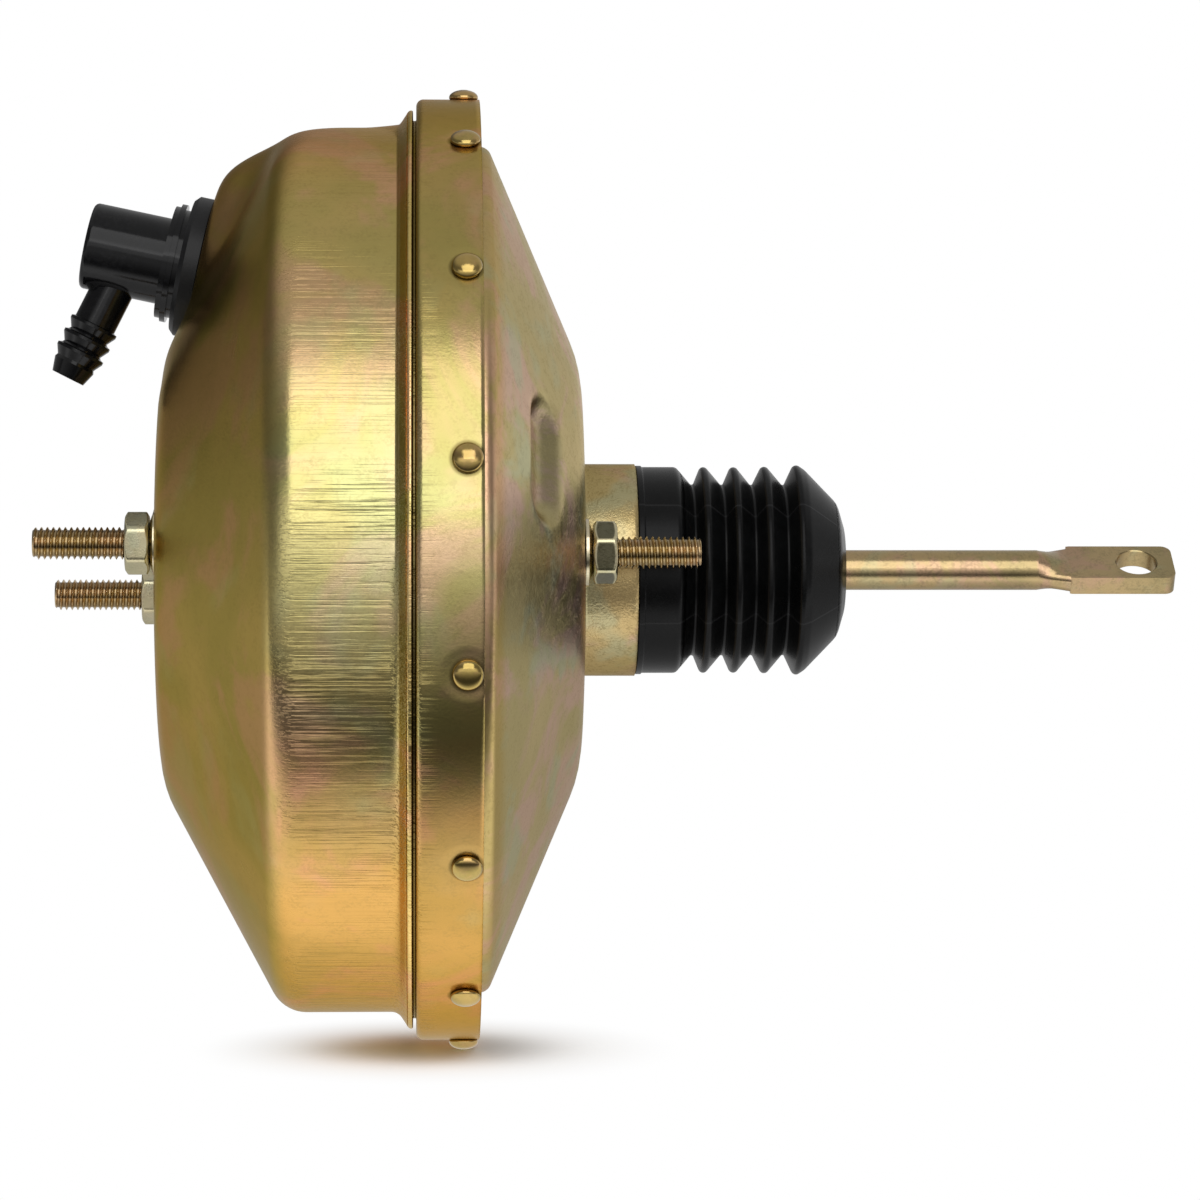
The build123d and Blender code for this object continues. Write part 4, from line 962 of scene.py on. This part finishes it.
pistonStroke = 32.0
boot = {
    "wall": 1.3, "front": 16.7, "lip": 32.6, "lipInset": 2.0, "lipLength": 1.9, "collar": 32.2, "collarStep": 0.3,
    "collarEnd": 29.5, "split": 30.4, "valley": 26.0, "crest": 33.4,
    "valleys": (34.8, 44.1, 53.3, 63.3), "steps": (3.0, 3.2, 3.7, 3.5),
    "shoulder": (69.8, 31.4), "nose": (79.9, 21.0), "end": 82.0, "endRadius": 14.0, "gripRadius": 6.5,
    "frontRounds": (0.5, 0.4, 0.2, 2.0), "foldRounds": (0.8, 1.35), "endRounds": (4.5, 6.0, 1.4),
    "collarOverlap": 1.0, "noseOverlap": (1.2, 0.2), "rowStep": 0.7, "turn": 14.0, "columns": 128,
}


def bootPiece(name, outline, body):
    points = turnedPoints(outline, evenAngles(boot["columns"]))
    mesh = thickened(name + "Solid", turnedMesh(name + "Skin", points), boot["wall"])
    return finished(name, mesh, "boot_rubber", body)


def makeBoot():
    b = boot
    lipEnd, noseAt = b["front"] + b["lipLength"], b["nose"][0]
    corners = [
        (b["front"], b["lip"] - b["lipInset"]), (b["front"], b["lip"]), (lipEnd, b["lip"]),
        (lipEnd + b["collarStep"], b["collar"]), (b["collarEnd"], b["collar"]),
    ]
    rounds = [*b["frontRounds"]]
    for valley, step in zip(b["valleys"], b["steps"]):
        corners += [(valley, b["valley"]), (valley + step, b["crest"])]
        rounds += b["foldRounds"]
    corners += [b["shoulder"], b["nose"], (b["end"], b["endRadius"]), (b["end"], b["gripRadius"])]
    rounds += b["endRounds"]
    outline = roundedOutline(corners, rounds, b["rowStep"], b["turn"])
    x = outline[:, 0]
    bellows = outline[(x >= b["split"]) & (x <= noseAt - b["noseOverlap"][1])]
    collarPiece = bootPiece("bootCollar", outline[x <= b["split"] + b["collarOverlap"]], "housing")
    bellowsPiece = bootPiece("bootBellows", bellows, "housing")
    bootPiece("bootNose", outline[x >= noseAt - b["noseOverlap"][0]], "pedal_rod")
    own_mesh(bellowsPiece)
    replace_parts(collarPiece, "dust_boot")


coils = {  # an anchor of 0 names a spring's start, 1 its end; the anchor point is worked out but nothing uses it
    "main_return_spring": {
        "body": "housing", "joint": "piston_stroke", "travel": pistonStroke,
        "wire": 2.0, "turns": 5.5, "radii": (30.2, 34.0), "anchor": 0,
    },
    "valve_return_spring": {
        "body": "power_piston", "joint": "valve_travel", "travel": 1.5,
        "wire": 0.65, "turns": 3.0, "radii": (12.8, 12.8), "anchor": 0,
    },
    "poppet_spring": {"body": "power_piston", "joint": None, "wire": 0.5, "turns": 4.0, "radii": (12.2, 12.2)},
    "check_valve_spring": {
        "body": "check_valve", "joint": "check_disc_lift", "travel": 1.5, "span": (12.8, 32.2),
        "wire": 0.45, "turns": 4.0, "radii": (5.5, 5.5), "anchor": 1,
    },
}


def coilSpring(tree, given):
    sizes = {"Resolution": 40, "Rotations": given["Turns"]}
    sizes.update({label: given[label] for label in ("Start Radius", "End Radius", "Height")})
    section = {"Resolution": 12, "Radius": given["Wire"]}
    tube = {
        "Curve": wired(tree, "GeometryNodeCurveSpiral", sizes), "Fill Caps": True,
        "Profile Curve": wired(tree, "GeometryNodeCurvePrimitiveCircle", section),
    }
    return wired(tree, "GeometryNodeCurveToMesh", tube)


coilTree = newGeometryTree("coilSpring", {
    "Turns": ("Float", 4.0), "Start Radius": ("Float", 0.01), "End Radius": ("Float", 0.01),
    "Height": ("Float", 0.02), "Wire": ("Float", 0.001),
}, coilSpring)


# where a spring starts, which way it runs and how long it is; one with a span lies on the check valve's axis
def coilPlace(node, spec):
    if "span" in spec:
        lean = math.radians(valvePad["lean"])
        along = Vector((-math.cos(lean), 0, math.sin(lean)))
        start, end = spec["span"]
        return Vector((valvePad["x"], 0, valvePad["z"])) * mm + along * start * mm, along, (end - start) * mm
    low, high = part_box(node)
    return Vector((low.x, 0, 0)), Vector((1, 0, 0)), high.x - low.x


def makeCoils():
    for node, spec in coils.items():
        start, along, length = coilPlace(node, spec)
        wire, first, last = [size * mm for size in (spec["wire"], *spec["radii"])]
        mesh = recalculated(bakedTree(node + "_coil", coilTree, {
            "Turns": spec["turns"], "Start Radius": first, "End Radius": last,
            "Height": length - 2 * wire, "Wire": wire, "Finish": finishes["spring_steel"],
        }))
        turn = Vector((0, 0, 1)).rotation_difference(along).to_matrix().to_4x4()
        mesh.transform(Matrix.Translation(start + along * wire) @ turn)
        word, *others = node.split("_")
        name = word + "".join(other.capitalize() for other in others)
        piece = finished(name, mesh, "spring_steel", spec["body"])
        if spec["joint"]:
            anchor, keep = start + along * length * spec["anchor"], 1 - spec["travel"] * mm / length
            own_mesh(piece)
        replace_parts(piece, node)


diaphragm = {  # the rolled fold stays with the rim outside the split radius
    "split": 122.0, "pieces": (("diaphragmRim", "housing", True), ("diaphragmDisc", "power_piston", False)),
}


def makeDiaphragm():
    for name, body, outer in diaphragm["pieces"]:
        shape = bmesh.new()
        shape.from_mesh(nodes["diaphragm"].data)
        bmesh.ops.remove_doubles(shape, verts=shape.verts, dist=1e-6)
        centres = [(face, face.calc_center_median()) for face in shape.faces]
        away = [f for f, c in centres if (math.hypot(c.y, c.z) > diaphragm["split"] * mm) != outer]
        bmesh.ops.delete(shape, geom=away, context="FACES")
        mesh = written(shape, bpy.data.meshes.new(name))
        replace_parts(finished(name, mesh, "seal_rubber", body), "diaphragm")


studio = {
    "floorZ": -148.5, "floorHalf": 8000.0, "floorGrey": 0.92, "floorGlow": 0.35,
    "contact": (-0.045, -0.01), "contactSpread": 1.4, "paintedShadowReach": (0.012, 0.075), "whiteReach": (0.03, 0.11),
    "horizon": 1.05, "overhead": 0.55,  # levels of the walls; the pairs are left and right
    "frontLevels": (0.22, 0.28), "backLevels": (0.46, 1.0), "backHighLevels": (0.17, 0.62),
    "sideFade": (-0.35, 0.35), "frontFade": (0.15, -0.25), "backFade": (0.05, 0.28), "overheadFade": (0.5, 0.9),
    "aheadFade": (-0.5, -0.85), "horizonBand": (-0.1, 0.2, 0.14),
    "lampPlace": (120, -1780, 1090), "lampSize": (1900, 1500), "lampPower": 17.0,
    "mirrorFrom": -1.2, "mirrorTo": 0.4, "mirrorLevels": (  # how bright reflections see the floor, near to far
        (-1.0, 0.66), (-0.62, 0.46), (-0.4, 0.26), (-0.3, 0.11), (-0.235, 0.09), (-0.2, 0.22),
        (-0.165, 0.8), (-0.13, 1.35), (-0.08, 1.35), (-0.045, 0.95), (0.05, 0.66), (0.2, 0.58),
    ),
}


# white up to the horizon; where the booster stands the floor is lit, so that it takes the shadow, and its glow fades
# out towards the contact line, which paints that shadow darker
def makeFloor():
    s = studio
    look = {"Base Color": (s["floorGrey"],) * 3 + (1,), "Roughness": 0.9, "Specular IOR Level": 0.0}
    made, shader, coords = newMaterial("paleFloor", look)
    tree = made.node_tree
    path = outputsOf(addNode(tree, "ShaderNodeLightPath"))
    eye, mirror = path["Is Camera Ray"], path["Is Glossy Ray"]
    x, y, _ = separated(coords)
    away = hypot((x - s["contact"][0]) * s["contactSpread"], y - s["contact"][1])
    # the glow fades out near the contact: a painted contact shadow
    glow = eye * mapRange(away, *s["paintedShadowReach"], 0.0, s["floorGlow"])
    lit = {0: Value(shader.outputs[0]), 1: wired(tree, "ShaderNodeEmission", {"Strength": glow})}
    span = s["mirrorTo"] - s["mirrorFrom"]
    stops = [((at - s["mirrorFrom"]) / span, (level,) * 3) for at, level in s["mirrorLevels"]]
    level = mixFloat(mirror, 1.0, colourRamp((y - s["mirrorFrom"]) / span, stops))
    white = wired(tree, "ShaderNodeEmission", {"Strength": level})
    share = maths("MAXIMUM", mapRange(away, *s["whiteReach"]) * eye, mirror)
    both = wired(tree, "ShaderNodeMixShader", {0: share, 1: wired(tree, "ShaderNodeAddShader", lit), 2: white})
    feed(tree.nodes["Material Output"].inputs["Surface"], both)

    z, half = s["floorZ"], s["floorHalf"]
    mesh = bpy.data.meshes.new("floor")
    corners = ((-half, -half, z), (half, -half, z), (half, half, z), (-half, half, z))
    mesh.from_pydata([tuple(v * mm for v in corner) for corner in corners], [], [(0, 1, 2, 3)])
    mesh.materials.append(made)
    piece = bpy.data.objects.new("floor", mesh)
    bpy.context.collection.objects.link(piece)


# brightness of the studio walls by direction; the camera looks along +Y
def makeWorld():
    s = studio
    world = bpy.data.worlds.new("studio")
    bpy.context.scene.world = world
    world.use_nodes = True
    tree = world.node_tree
    back = tree.nodes["Background"]
    feed(back.inputs["Color"], (1, 1, 1, 1))
    x, y, z = separated(wired(tree, "ShaderNodeTexCoord", {}, "Generated"))
    right = mapRange(x, *s["sideFade"])
    ahead = mapRange(y, *s["aheadFade"]) * between(z, *s["horizonBand"])
    frontLevel = ahead * s["horizon"] + mapRange(right, 0.0, 1.0, *s["frontLevels"])
    backLow, backHigh = [mapRange(right, 0.0, 1.0, *s[key]) for key in ("backLevels", "backHighLevels")]
    backLevel = mapRange(z, *s["backFade"], backLow, backHigh)
    level = mixFloat(mapRange(y, *s["frontFade"]), backLevel, frontLevel)
    level = mixFloat(mapRange(z, *s["overheadFade"]), level, s["overhead"])
    seen = wired(tree, "ShaderNodeLightPath", {}, "Is Camera Ray")
    feed(back.inputs["Strength"], maths("MAXIMUM", level, seen))


def makeLamp():
    data = bpy.data.lights.new("frontLamp", "AREA")
    data.shape = "RECTANGLE"
    data.size, data.size_y = [side * mm for side in studio["lampSize"]]
    data.energy = studio["lampPower"]
    aimed("frontLamp", data, studio["lampPlace"], (0, 0, 0))


makeCamera()
finishes = makeFinishes()
dressNodes()
print("finishes made")
makeFrontShell()
makeRearShell()
print("shells made")
makeRimRivets()
makeStuds()
makeNuts()
print("rivets, studs and nuts made")
makeBoot()
makeCoils()
makeDiaphragm()
print("boot, springs and diaphragm made")
makeFloor()
makeWorld()
makeLamp()
print("studio made")
